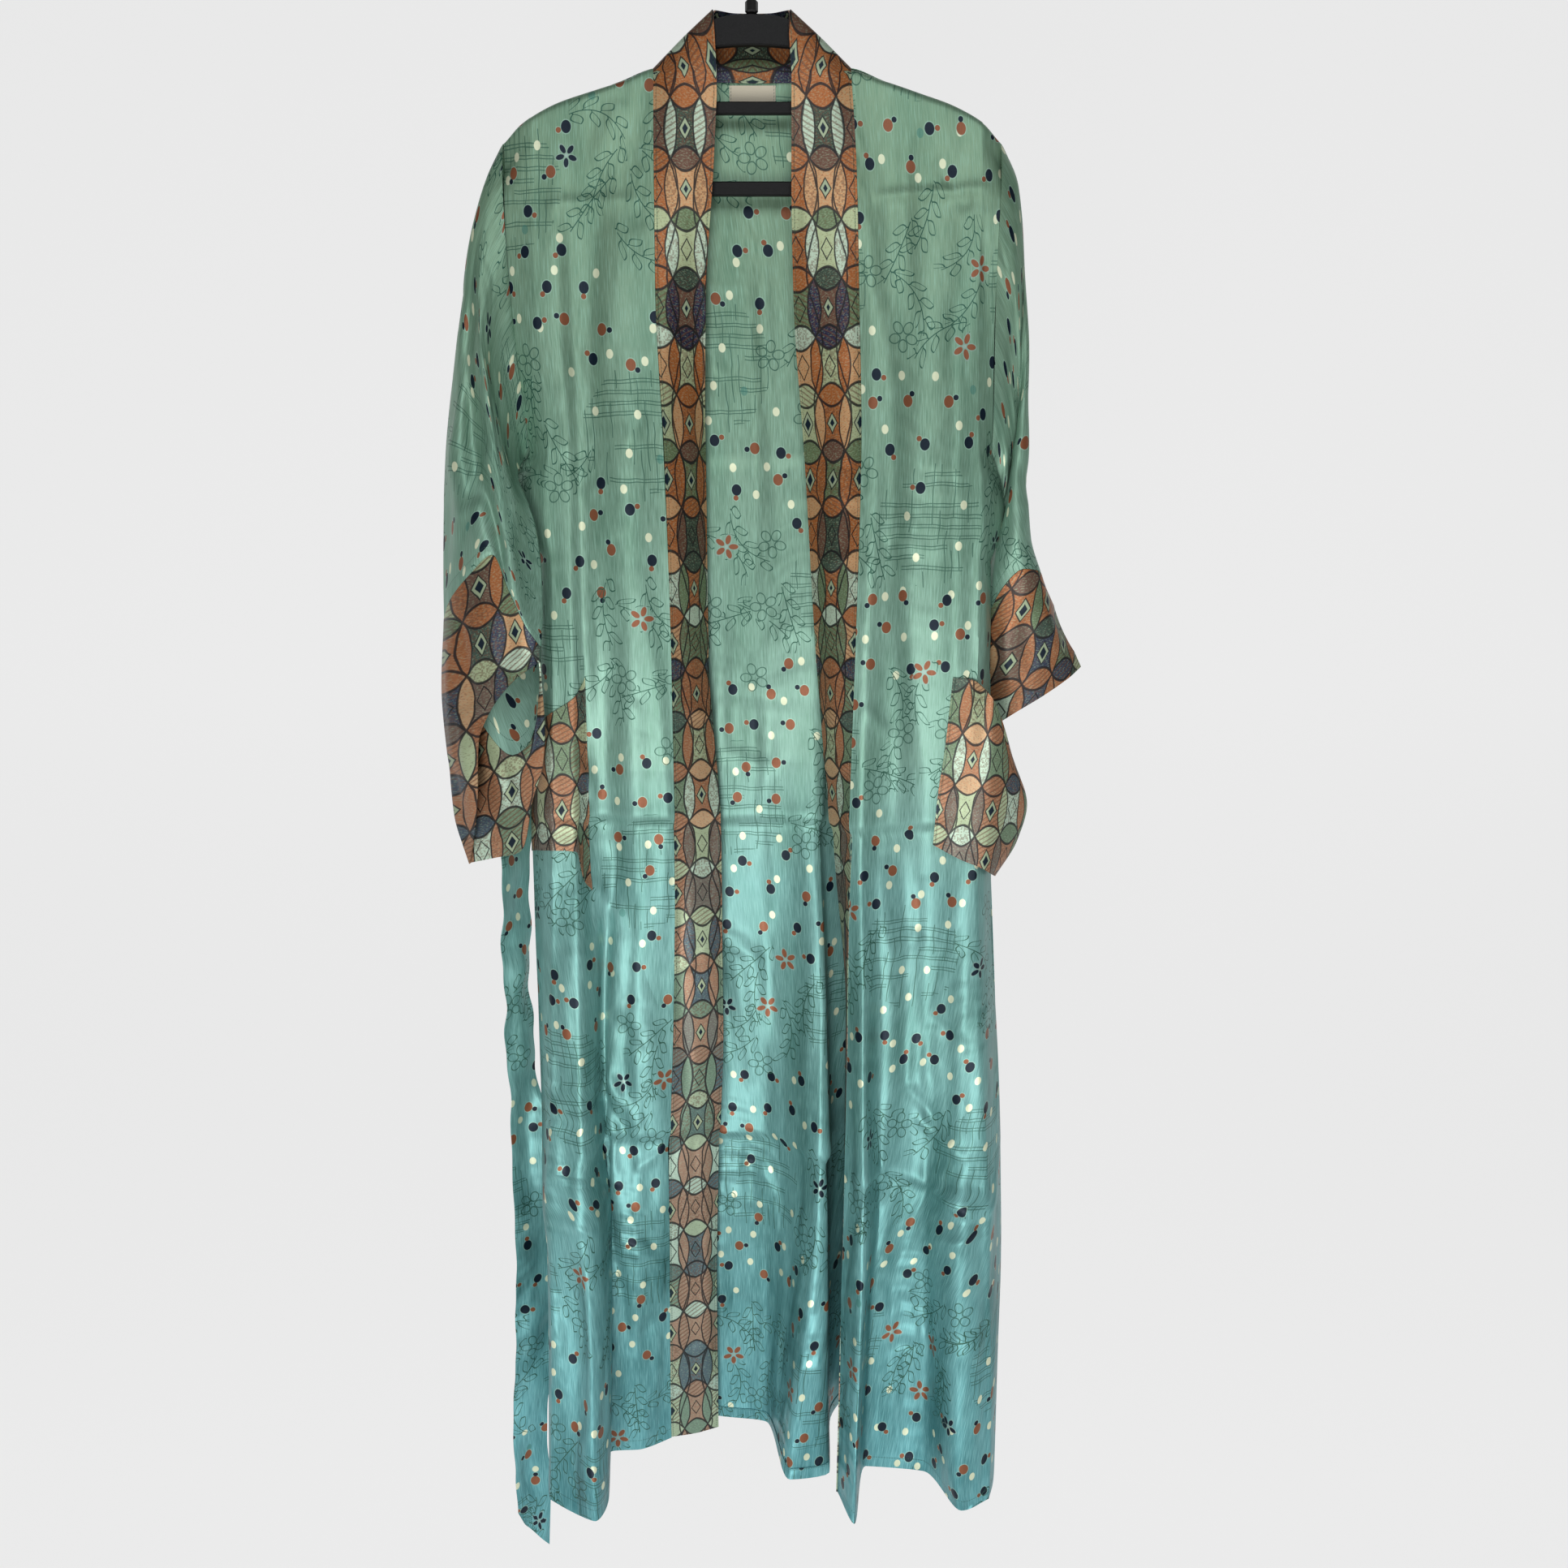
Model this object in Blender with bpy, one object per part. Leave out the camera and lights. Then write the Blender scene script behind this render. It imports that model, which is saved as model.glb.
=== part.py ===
"""A long open-front kimono robe, hanging from a plain hanger.

The origin is the inside top of the hanger's hook, +Z is up and the robe's front faces -Y. Right and left
are the wearer's, so the right side is at -X. Every piece of cloth is a wall with two faces, worked out from
sections: a row of a table is one height, and its columns are the folds across the panel. Tables are in
millimetres.
"""

import math

import bpy
import numpy as np

# Driving dimensions, in metres
MM = 0.001
CLOTH = 0.0012
SEAM_PITCH = 0.0009
SLEEVE_PITCH = {-1: 0.0024, 1: 0.0014}
CUFF_PITCH = {-1: 0.0021, 1: 0.0011}
SLEEVE_BOW = {-1: 0.005, 1: 0.012}
POCKET_PITCH = 0.0021
FLAT_SEAM = 0.0008
LAYER_PITCH = 0.0016
HEM_Z = -1.400
NECK_X = 0.0775
TIP_Z = -0.183
UNDERARM_Z = -0.430
ARMHOLE_DEPTH = 0.022
NECK_CELLS = 6
NECK_SEAM_Z = -0.130
NECK_PITCH = 0.0013
TOP_TURN = 0.006
TOP_TURN_PARTS = (0.0, 0.42, 0.8)
CORNER_PARTS = ((0.36, 0.22), (0.72, 0.60), (0.93, 0.88), (1.0, 1.0))
PANEL_ROWS = 18
SLEEVE_POINTS = 9
SLEEVE_ROWS = 11
CUFF_ROWS = 5
EDGE_FOLD = 0.0018
FRONT_CELLS = (3, 2, 2, 2, 2)
BACK_CELLS = (2, 3, 2, 2, 3, 1, 2, 2, 3, 2)
BACK_LENGTHS = {"back_upper": (0, 9), "back_middle": (9, 15), "back_lower": (15, 21)}
LENGTH_SEAM = 0.0006
BELT_WIDTH = 0.036
LOOP_WIDTH = 0.008
LOOP_PITCH = 0.0027
POCKET_ROWS = 8
POCKET_CELLS = 2
BEVEL = 0.001
ROW_START = 0.55
SHARP_ANGLE = 50
LEAST_FOLD = 0.6
TINY = 1e-12

# The shoulder seam's height over the hanger's arm: distance from the centre, height
SHOULDER = ((0, -132), (46, -131), (77.5, -127), (105, -136), (134, -146), (165, -156), (188, -168),
            (203, -183))

# The back neck's distance behind the hanger: distance from the centre, depth
BACK_NECK = ((0, 19), (46, 17), (70, 5), (80, 0.2), (203, 0.2))

# The side line, by height: height, right side, left side
SIDE_LINE = (
    (-120, -203, 203), (-183, -203, 203), (-300, -199, 200), (-430, -190, 204), (-600, -198, 210),
    (-770, -206, 217),
    (-950, -208, 229), (-1100, -209, 239), (-1250, -210, 243), (-1400, -213, 243),
)

# Front sections: height, then x and y of the band seam, chest, fold foot, fold edge, fold crest and outer
# roll
FRONT_RIGHT = (
    (-120, (-79, -6), (-105, -6), (-132, -6), (-146, -6), (-160, -6), (-180, -6)),
    (-200, (-80, -11), (-108, -10), (-134, -9), (-147, -9), (-160, -10), (-179, -11)),
    (-300, (-80, -21), (-110, -25), (-136, -20), (-148, -21), (-160, -25), (-178, -26)),
    (-430, (-75, -29), (-105, -35), (-134, -25), (-146, -26), (-156, -31), (-172, -29)),
    (-600, (-72, -30), (-104, -34), (-135, -24), (-148, -25), (-159, -31), (-176, -30)),
    (-770, (-73, -22), (-106, -27), (-138, -18), (-150, -22), (-162, -34), (-182, -35)),
    (-950, (-78, -20), (-110, -27), (-142, -17), (-150, -31), (-162, -53), (-187, -47)),
    (-1100, (-85, -20), (-116, -29), (-145, -19), (-147, -45), (-158, -76), (-190, -62)),
    (-1250, (-88, -17), (-120, -30), (-147, -25), (-144, -70), (-154, -99), (-194, -76)),
    (-1400, (-90, -13), (-122, -31), (-148, -34), (-141, -94), (-151, -119), (-198, -92)),
)
FRONT_LEFT = (
    (-120, (79, -6), (92, -6), (108, -6), (140, -6), (165, -6), (186, -6)),
    (-200, (85, -11), (96, -10), (112, -9), (142, -9), (166, -10), (187, -11)),
    (-300, (88, -21), (99, -24), (114, -22), (144, -20), (168, -24), (186, -26)),
    (-430, (91, -29), (102, -31), (116, -28), (146, -24), (172, -29), (190, -29)),
    (-600, (88, -30), (98, -33), (114, -28), (148, -24), (176, -30), (194, -32)),
    (-770, (85, -27), (96, -32), (113, -25), (150, -22), (180, -30), (198, -33)),
    (-950, (85, -36), (98, -52), (117, -32), (154, -28), (186, -40), (205, -42)),
    (-1100, (83, -52), (99, -77), (117, -38), (158, -37), (192, -62), (214, -62)),
    (-1250, (80, -68), (96, -101), (111, -44), (160, -46), (194, -84), (219, -78)),
    (-1400, (77, -84), (92, -122), (107, -52), (164, -58), (194, -106), (222, -92)),
)

# Back sections: height, then x and y of the right outer fold, right valley, right inner fold, centre, ridge
# foot, ridge, ridge plateau, ridge return, left inner fold, left valley and left outer fold
BACK = (
    (-120, (-182, 6), (-160, 6), (-105, 6), (-46, 17), (-12, 18), (22, 18), (46, 16), (72, 8), (105, 6),
     (150, 6), (182, 6)),
    (-200, (-182, 11), (-158, 10), (-105, 12), (-46, 16), (-10, 17), (30, 17), (52, 16), (76, 14),
     (108, 12), (152, 11), (184, 11)),
    (-300, (-180, 24), (-156, 20), (-108, 22), (-46, 20), (-6, 19), (40, 17), (60, 18), (82, 20), (110, 22),
     (154, 19), (184, 25)),
    (-430, (-174, 27), (-150, 18), (-106, 26), (-46, 21), (-2, 20), (46, 17), (64, 19), (84, 22), (112, 26),
     (154, 17), (188, 27)),
    (-600, (-174, 24), (-150, 13), (-104, 24), (-46, 17), (0, 16), (52, 11), (64, 13), (78, 18), (112, 24),
     (156, 11), (190, 22)),
    (-770, (-180, 25), (-154, 8), (-106, 25), (-46, 13), (2, 13), (54, 3), (60, 4), (66, 14), (112, 25),
     (158, 7), (192, 22)),
    (-950, (-182, 31), (-156, 4), (-108, 30), (-48, 14), (4, 11), (61, -20), (66, -18), (69, 10), (112, 30),
     (162, 2), (198, 28)),
    (-1100, (-182, 37), (-158, 0), (-110, 37), (-48, 16), (6, 11), (59, -42), (68, -38), (71, 8), (112, 37),
     (166, -4), (206, 36)),
    (-1250, (-182, 44), (-160, -6), (-112, 45), (-48, 17), (7, 11), (47, -56), (68, -50), (71, 8),
     (112, 46), (168, -8), (210, 44)),
    (-1400, (-186, 52), (-164, -14), (-114, 54), (-48, 18), (8, 9), (32, -68), (70, -60), (73, 8),
     (112, 56), (170, -10), (212, 52)),
)

# Front bands: height, then x and y of the free edge and of the band's middle
BAND_RIGHT = (
    (-150, (-28, -12), (-54, -12)), (-200, (-31, -13), (-56, -13)), (-300, (-39, -8), (-62, -16)),
    (-430, (-42, 3), (-56, -16)), (-600, (-42, 2), (-56, -17)), (-770, (-32, -6), (-53, -15)),
    (-950, (-32, -4), (-55, -14)), (-1100, (-38, -3), (-61, -14)), (-1250, (-42, 0), (-65, -11)),
    (-1400, (-42, 1), (-66, -8)),
)
BAND_LEFT = (
    (-150, (32, -12), (58, -12)), (-200, (32, -13), (59, -13)), (-300, (34, -8), (62, -16)),
    (-430, (44, 2), (70, -19)), (-600, (55, 4), (70, -18)), (-770, (70, -1), (78, -13)),
    (-950, (86, 9), (85, -13)), (-1100, (86, -2), (85, -28)), (-1250, (88, -17), (85, -43)),
    (-1400, (90, -32), (84, -58)),
)

# The band's free edge round the back neck, from the centre back to the shoulder, and then over the hanger's
# arch
NECK_FREE = ((0, 25, -89), (14, 24, -88), (24, 18, -86.5), (29.5, 9, -84.5), (30.5, 4.5, -84))
NECK_OVER = ((31, 0, -84), (30.5, -5.5, -86.5), (29.5, -8.5, -98))

# Right sleeve, by named lines: x, y and z along each, from the shoulder tip or the underarm down
SLEEVE_RIGHT = {
    "outer": ((-204, 0, -183), (-218, -4, -212), (-234, -8, -277), (-248, -9, -341), (-262, -11, -428),
              (-269, -13, -517), (-271, -14, -567)),
    "inner": ((-188, 0, -430), (-197, -9, -433), (-199, -24, -443), (-192, -39, -460), (-182, -46, -486),
              (-177, -53, -527),
              (-176, -62, -562), (-177, -69, -586)),
    "near_seam": ((-271, -14, -567), (-262, -30, -553), (-236, -56, -528), (-213, -69, -511),
                  (-200, -71, -540),
                  (-187, -72, -570), (-177, -69, -586)),
    "far_seam": ((-271, -14, -567), (-264, -22, -618), (-240, -34, -656), (-212, -41, -684),
                 (-194, -47, -670),
                 (-182, -57, -626), (-177, -69, -586)),
}
CUFF_RIGHT = {
    "near_hem": ((-258, -26, -786), (-249, -38, -756), (-242, -47, -722), (-236, -56, -668),
                 (-222, -63, -640),
                 (-199, -71, -614), (-178, -73, -599)),
    "far_hem": ((-258, -26, -786), (-236, -28, -781), (-211, -33, -774), (-196, -40, -724), (-184, -47, -690),
                (-179, -58, -652), (-178, -73, -599)),
    "outer": ((-271, -14, -567), (-276, -17, -637), (-273, -19, -696), (-270, -22, -741), (-258, -26, -786)),
}

# The right sleeve's step fold: its edge's start, run and curve as parts of the sleeve's width, then each
# wave's place (from that edge, or from the outer side for the ridge), its half width and its height in
# millimetres
STEP_EDGE = (0.12, 0.42, 1.4)
STEP_STRIP = (-0.10, 0.16, 10)
STEP_VALLEY = (0.10, 0.09, -12)
STEP_RIDGE = (0.80, 0.16, 13)
STEP_START = 1.15
STEP_END = 4.0

# The lengthwise ripples of the left sleeve's far layer: how many half waves, and their height in millimetres
RIPPLES = 3
RIPPLE_HEIGHT = -5

# Left sleeve, the same way. It hangs behind the robe's side, so its underarm line swings back
SLEEVE_LEFT = {
    "outer": ((204, 0, -183), (218, 3, -212), (223, 5, -277), (230, 7, -341), (235, 9, -455), (246, 12, -505),
              (258, 16, -538)),
    "inner": ((205, 0, -430), (214, 16, -468), (200, 36, -520), (168, 48, -590), (138, 54, -655)),
    "near_seam": ((258, 16, -538), (248, -6, -526), (234, -14, -524), (218, -6, -540), (200, 24, -590),
                  (138, 54, -655)),
    "far_seam": ((258, 16, -538), (254, 38, -548), (240, 56, -572), (205, 68, -608), (170, 66, -636),
                 (138, 54, -655)),
}
CUFF_LEFT = {
    "near_hem": ((298, 28, -614), (283, 16, -624), (262, 12, -638), (238, 19, -655), (196, 38, -688),
                 (126, 62, -737)),
    "far_hem": ((298, 28, -614), (292, 48, -622), (270, 66, -644), (226, 80, -674), (176, 78, -708),
                (126, 62, -737)),
    "outer": ((258, 16, -538), (278, 22, -576), (298, 28, -614)),
}

# Left pocket: height at its inner edge, then x and y of the inner edge, middle, fold, lip and outer edge.
# The last two tables are how far each of them rises above that height at the mouth and at the foot
POCKET_LEFT = (
    (-617, (173, -31.4), (188, -34), (206, -42), (228, -22), (214, 3)),
    (-690, (168, -30.4), (188, -34), (208, -38), (245, -17), (217, 4)),
    (-740, (163, -29.4), (186, -34), (208, -37), (238, -15), (219, 4)),
    (-792, (160, -28.4), (184, -35), (204, -37), (219, -17), (221, 3)),
)
POCKET_LEFT_MOUTH = (0, -1, -16, -72, -76)
POCKET_LEFT_FOOT = (24, 12, 4, -8, 6)

# Right pocket, which lies on the front panel: part of the way from its inner to its outer edge, mouth and
# foot heights
POCKET_RIGHT = ((0.00, -617, -812), (0.12, -626, -803), (0.22, -633, -774), (0.55, -647, -772),
                (1.00, -668, -780))
POCKET_RIGHT_COLUMNS = (1, 8)

# Belt, from the right tail's foot, up, across the back and down to the left tail's foot: x, y and z of its
# middle, then its width's tilt above the level and turn in plan, in degrees
BELT = (
    (-239, 6, -1500, 0, 36), (-239.5, 6, -1466, 0, 38), (-238, 3, -1407, 0, 26), (-232, 3, -1340, 0, 28),
    (-227, 4, -1246, 0, 30), (-225, 5, -1150, 0, 32), (-225, 5, -1067, 0, 34), (-228, 8, -1000, 0, 58),
    (-227, 8, -900, 0, 62), (-226, 8, -810, 0, 56), (-224, 10, -765, 0, 48), (-221, 15, -722, 5, 35),
    (-216, 20, -692, 25, 15), (-206, 24, -673, 55, 4), (-192, 26, -663, 80, 0), (-176, 26.2, -660, 90, 0),
    (-105, 26.4, -664, 90, 0), (0, 26.2, -668, 90, 0), (112, 26.4, -664, 90, 0), (178, 25, -660, 90, 0),
    (190, 25, -663, 75, 0), (197, 25.5, -677, 40, 0), (199, 26.5, -702, 6, 0), (198, 28, -760, 0, 0),
    (199, 31, -850, 0, 4), (200, 35, -950, 0, -5), (204, 42, -1080, 0, 4), (206, 48, -1180, 0, -4),
    (207, 51, -1215, 0, 0),
)
BELT_TIP_RIGHT = ((-250, -4, -1512), (-226, 12, -1556))
BELT_TIP_LEFT = ((225, 52, -1228), (189, 52, -1256))
BELT_CELLS = 66

# Belt loops on the back panel: x of each, its ends' heights and the heights between which it clears the belt
LOOP_PLACES = {"right": -0.1763, "left": 0.1755}
LOOP_ENDS = (-0.6335, -0.6925)
LOOP_SHOULDERS = (-0.6400, -0.6860)
LOOP_POINTS = 3

# Neck label, inside the back just under the neck seam
LABEL_WIDTH = 0.038
LABEL_TOP = -0.1335
LABEL_FOOT = -0.1515
LABEL_THICK = 0.0008
LABEL_POINTS = (5, 3)

# Hanger arms, from the centre out: x and z of the arm's middle, then its height across
ARMS = (
    (0, -98.5, 23), (30, -101, 21), (55, -120.5, 14.5), (80, -142.5, 12), (105, -149, 12), (134, -158, 12),
    (165, -168, 11),
    (184, -179, 10), (190.5, -196, 9), (189, -222, 9),
)
ARM_THICK = 0.006
ARM_CELLS = 14
BAR_THICK = 0.005
BAR_UPPER = (-0.1560, 0.0095, 0.0870)
BAR_LOWER = (-0.2165, 0.0110, 0.1838)

# Hanger hook: its wire rises from a collar, bends aside and turns over a rail whose middle is HOOK_RADIUS
# below the origin
HOOK_WIRE = 0.0018
HOOK_RADIUS = 0.020
HOOK_FOOT = -0.0865
HOOK_TURN = (-62, 205)
HOOK_ARC_POINTS = 17
HOOK_RISE = ((0, -54), (1.2, -48), (5.2, -42.5))
HOOK_RISE_POINTS = 5
COLLAR_RADIUS = 0.0052
COLLAR_TOP = -0.0775
HOOK_SIDES = 8

# Materials: colour as linear RGB, roughness, metallic
PAINTS = {
    "printed_satin": ((0.15, 0.38, 0.38, 1), 0.38, 0.0),
    "contrast_satin": ((0.40, 0.17, 0.07, 1), 0.42, 0.0),
    "label_tape": ((0.75, 0.70, 0.58, 1), 0.60, 0.0),
    "black_plastic": ((0.012, 0.012, 0.013, 1), 0.40, 0.0),
    "bright_steel": ((0.62, 0.61, 0.58, 1), 0.25, 1.0),
}


def slopes(places, values):
    """Slopes of a monotone cubic, so that no fold swings past its table."""
    steps = np.diff(places).reshape((-1,) + (1,) * (values.ndim - 1))
    rises = np.diff(values, axis=0) / steps
    found = np.zeros_like(values)
    found[0] = rises[0]
    found[-1] = rises[-1]
    before, after = rises[:-1], rises[1:]
    wide, wider = 2 * steps[1:] + steps[:-1], steps[1:] + 2 * steps[:-1]
    same = before * after > 0
    safe_before = np.where(same, before, 1)
    safe_after = np.where(same, after, 1)
    found[1:-1] = np.where(same, (wide + wider) / (wide / safe_before + wider / safe_after), 0)
    return found


def smooth(places, values, at):
    """The smooth curve through the rows of values, read at each place in at."""
    places = np.asarray(places, float)
    values = np.asarray(values, float)
    at = np.clip(np.atleast_1d(np.asarray(at, float)), places[0], places[-1])
    if len(places) == 2:
        part = ((at - places[0]) / (places[1] - places[0])).reshape((-1,) + (1,) * (values.ndim - 1))
        return values[0] * (1 - part) + values[1] * part
    slope = slopes(places, values)
    k = np.clip(np.searchsorted(places, at, side="right") - 1, 0, len(places) - 2)
    shape = (-1,) + (1,) * (values.ndim - 1)
    step = (places[k + 1] - places[k]).reshape(shape)
    s = (at - places[k]).reshape(shape) / step
    start = values[k] * (1 + 2 * s) * (1 - s) ** 2 + slope[k] * step * s * (1 - s) ** 2
    return start + values[k + 1] * s * s * (3 - 2 * s) + slope[k + 1] * step * s * s * (s - 1)


def along(points, count):
    """Points of a smooth line through the given ones, evenly spaced by length."""
    points = np.asarray(points, float)
    reach = np.concatenate([[0], np.cumsum(np.linalg.norm(np.diff(points, axis=0), axis=1))])
    return smooth(reach, points, np.linspace(0, reach[-1], count))


def spread(stations, cells):
    """Station numbers, with the given count of cells between each two."""
    places = [float(stations[0])]
    for k, count in enumerate(cells):
        places += list(np.linspace(stations[k], stations[k + 1], count + 1)[1:])
    return np.array(places)


def shoulder_height(x):
    table = np.array(SHOULDER, float)
    return smooth(table[:, 0], table[:, 1:], np.abs(np.atleast_1d(x)) / MM)[:, 0] * MM


def neck_depth(x):
    table = np.array(BACK_NECK, float)
    return smooth(table[:, 0], table[:, 1:], np.abs(np.atleast_1d(x)) / MM)[:, 0] * MM


def side_x(side, z):
    table = np.array(SIDE_LINE, float)[::-1]
    return smooth(table[:, 0], table[:, 1:], np.atleast_1d(z) / MM)[:, 0 if side < 0 else 1] * MM


def armhole(z):
    """Half the armhole's opening at a height: a lens from the shoulder tip to the underarm."""
    part = np.clip((TIP_Z - np.atleast_1d(z)) / (TIP_Z - UNDERARM_Z), 0, 1)
    return ARMHOLE_DEPTH * np.sqrt(np.clip(np.sin(np.pi * part), 0, 1)) + FLAT_SEAM / 2


def columns_of(table, places):
    """For each place across the stations, its x and y at the table's heights, as arrays over height."""
    rows = np.array([[pair for pair in row[1:]] for row in table], float)
    stations = np.arange(rows.shape[1])
    return smooth(stations, rows.transpose(1, 0, 2), places)


def read_column(table, column, z):
    heights = np.array([row[0] for row in table], float)[::-1]
    return smooth(heights, column[::-1], z / MM) * MM


def row_parts(rows):
    """Parts of the way from the shoulder to the hem, closer together at the top."""
    part = np.linspace(0, 1, rows + 1)
    return part * (ROW_START + (1 - ROW_START) * part)


def panel(table, cells, face, rows):
    """A body panel's points between its outermost folds, across then down. face is -1 in front and 1
    behind."""
    stations = np.arange(len(table[0]) - 1)
    grid = []
    for column in columns_of(table, spread(stations, cells)):
        x_top = read_column(table, column, np.array([NECK_SEAM_Z]))[0, 0]
        z_top = shoulder_height(x_top)[0]
        y_top = face * neck_depth(x_top)[0] if face > 0 else -FLAT_SEAM / 2
        z_turned = z_top - TOP_TURN
        places = [(z_top - TOP_TURN * (1 - math.sqrt(1 - turn * turn)), turn) for turn in TOP_TURN_PARTS]
        places += [(z, 1.0) for z in z_turned + (HEM_Z - z_turned) * row_parts(rows)]
        line = []
        for z, turn in places:
            x, y = read_column(table, column, np.array([min(z, z_turned)]))[0]
            line.append((x, y_top + (y - y_top) * turn, z))
        grid.append(line)
    return np.array(grid)


def corner(last, side, face):
    """The columns that carry a panel's outermost fold round to its side edge, which opens out along the
    armhole."""
    columns = []
    for x_part, y_part in CORNER_PARTS:
        line = []
        for x, y, z in last:
            z_read = min(z, TIP_Z - MM)
            x_side, y_side = side_x(side, z_read)[0], face * armhole(z_read)[0]
            line.append((x + (x_side - x) * x_part, y + (y_side - y) * y_part, z))
        columns.append(line)
    columns = np.array(columns)
    for column in columns:
        drop = column[0, 2] - shoulder_height(column[0, 0])[0]
        part = np.clip((column[:, 2] - HEM_Z) / (column[0, 2] - HEM_Z), 0, 1)
        column[:, 2] -= drop * part
    return columns


def front_grid(side):
    """A front panel from its band seam out to the side, with its columns in +X order."""
    points = panel(FRONT_RIGHT if side < 0 else FRONT_LEFT, FRONT_CELLS, -1, PANEL_ROWS)
    grid = np.concatenate([points, corner(points[-1], side, -1)])
    return grid[::-1] if side < 0 else grid


def back_grid():
    points = panel(BACK, BACK_CELLS, 1, PANEL_ROWS)
    return np.concatenate([corner(points[0], -1, 1)[::-1], points, corner(points[-1], 1, 1)])


def back_length(back, first, last):
    """One of the back's lengths, between two of its rows. Below the first one it starts clear of the last."""
    length = back[:, first:last + 1].copy()
    if first:
        length[:, 0] += (length[:, 1] - length[:, 0]) * LENGTH_SEAM / (length[:, 0, 2:] - length[:, 1, 2:])
    return length


def on_panel(grid, x, z):
    """How far back a panel's middle surface lies at a place that faces straight ahead."""
    xs = [np.interp(-z, -column[:, 2], column[:, 0]) for column in grid]
    ys = [np.interp(-z, -column[:, 2], column[:, 1]) for column in grid]
    return float(np.interp(x, xs, ys))


def normals(grid, ring):
    """A unit normal at each point of a grid, from its neighbours. A ring's first and last columns are
    neighbours."""
    if ring:
        across = np.roll(grid, -1, axis=0) - np.roll(grid, 1, axis=0)
    else:
        across = np.gradient(grid, axis=0)
    down = np.gradient(grid, axis=1)
    found = np.cross(across, down)
    return found / np.maximum(np.linalg.norm(found, axis=2, keepdims=True), TINY)


def wall_faces(columns, rows, ring):
    """Faces of a wall with points numbered outer first, then inner, column by column."""
    inner = columns * rows
    faces = []
    last = columns if ring else columns - 1
    for i in range(last):
        k = (i + 1) % columns
        for j in range(rows - 1):
            a, b, c, d = i * rows + j, k * rows + j, k * rows + j + 1, i * rows + j + 1
            faces.append((a, b, c, d))
            faces.append((a + inner, d + inner, c + inner, b + inner))
        top, foot = (i * rows, k * rows), (i * rows + rows - 1, k * rows + rows - 1)
        faces.append((top[1], top[0], top[0] + inner, top[1] + inner))
        faces.append((foot[0], foot[1], foot[1] + inner, foot[0] + inner))
    if not ring:
        for i, turn in ((0, 1), (columns - 1, -1)):
            for j in range(rows - 1):
                a, b = i * rows + j, i * rows + j + 1
                quad = (a, b, b + inner, a + inner)
                faces.append(quad if turn > 0 else quad[::-1])
    return faces


def material(name):
    colour, roughness, metallic = PAINTS[name]
    made = bpy.data.materials.new(name)
    made.use_nodes = True
    shader = made.node_tree.nodes["Principled BSDF"]
    shader.inputs["Base Color"].default_value = colour
    shader.inputs["Roughness"].default_value = roughness
    shader.inputs["Metallic"].default_value = metallic
    return made


def add_mesh(name, points, faces, paint):
    """Adds one closed mesh. Its faces are turned out by the sign of its volume."""
    mesh = bpy.data.meshes.new(name)
    mesh.from_pydata([tuple(map(float, p)) for p in points], [], faces)
    mesh.validate()
    mesh.calc_loop_triangles()
    where = np.array([v.co[:] for v in mesh.vertices])
    corners = where[np.array([t.vertices[:] for t in mesh.loop_triangles])]
    if np.linalg.det(corners).sum() < 0:
        mesh.flip_normals()
    mesh.shade_smooth()
    mesh.set_sharp_from_angle(angle=math.radians(SHARP_ANGLE))
    mesh.materials.append(paint)
    made = bpy.data.objects.new(name, mesh)
    bpy.context.scene.collection.objects.link(made)
    return made


def even_normals(grid, ring):
    """Normals made longer at sharp folds, so that a wall keeps its thickness round them."""
    down = np.gradient(grid, axis=1)
    steps = np.roll(grid, -1, axis=0) - grid
    if not ring:
        steps[-1] = steps[-2]
    after = np.cross(steps, down)
    after /= np.maximum(np.linalg.norm(after, axis=2, keepdims=True), TINY)
    before = np.roll(after, 1, axis=0)
    if not ring:
        before[0] = after[0]
    found = before + after
    found /= np.maximum(np.linalg.norm(found, axis=2, keepdims=True), TINY)
    return found / np.maximum((found * after).sum(axis=2, keepdims=True), LEAST_FOLD)


def add_wall(name, grid, paint, thick=CLOTH, ring=False):
    """Adds a wall of cloth whose middle surface is the grid."""
    across = even_normals(grid, ring) * thick / 2
    points = np.concatenate([(grid + across).reshape(-1, 3), (grid - across).reshape(-1, 3)])
    return add_mesh(name, points, wall_faces(grid.shape[0], grid.shape[1], ring), paint)


def band_grid(side, front):
    """A front band, from the centre back, over the shoulder and down the front edge. Three points across."""
    table = BAND_RIGHT if side < 0 else BAND_LEFT
    edge = front[-1] if side < 0 else front[0]
    toward = front[-2] if side < 0 else front[1]
    out = edge - toward
    out /= np.linalg.norm(out, axis=1, keepdims=True)
    seam_line = edge + out * SEAM_PITCH
    free = along(np.array(NECK_FREE, float) * MM, NECK_CELLS)
    free[0, 0] = FLAT_SEAM / 2
    neck_x = np.linspace(FLAT_SEAM / 2, NECK_X - MM, NECK_CELLS)
    seam = np.stack([neck_x, neck_depth(neck_x), shoulder_height(neck_x) + NECK_PITCH], axis=1)
    free = np.concatenate([free, np.array(NECK_OVER, float) * MM])
    free[:, 0] *= side
    seam[:, 0] *= side
    seam = np.concatenate([seam, seam_line[:len(NECK_OVER)]])
    middle = (seam + free) / 2
    middle[:, 2] += MM
    low = seam_line[len(NECK_OVER):]
    heights = np.array([row[0] for row in table], float)[::-1]
    values = np.array([[x for pair in row[1:] for x in pair] for row in table], float)[::-1]
    free_x, free_y, middle_x, middle_y = smooth(heights, values, low[:, 2] / MM).T * MM
    lines = [
        np.concatenate([seam, low]),
        np.concatenate([middle, np.stack([middle_x, middle_y, low[:, 2]], axis=1)]),
        np.concatenate([free, np.stack([free_x, free_y, low[:, 2]], axis=1)]),
    ]
    return np.array(lines)


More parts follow.
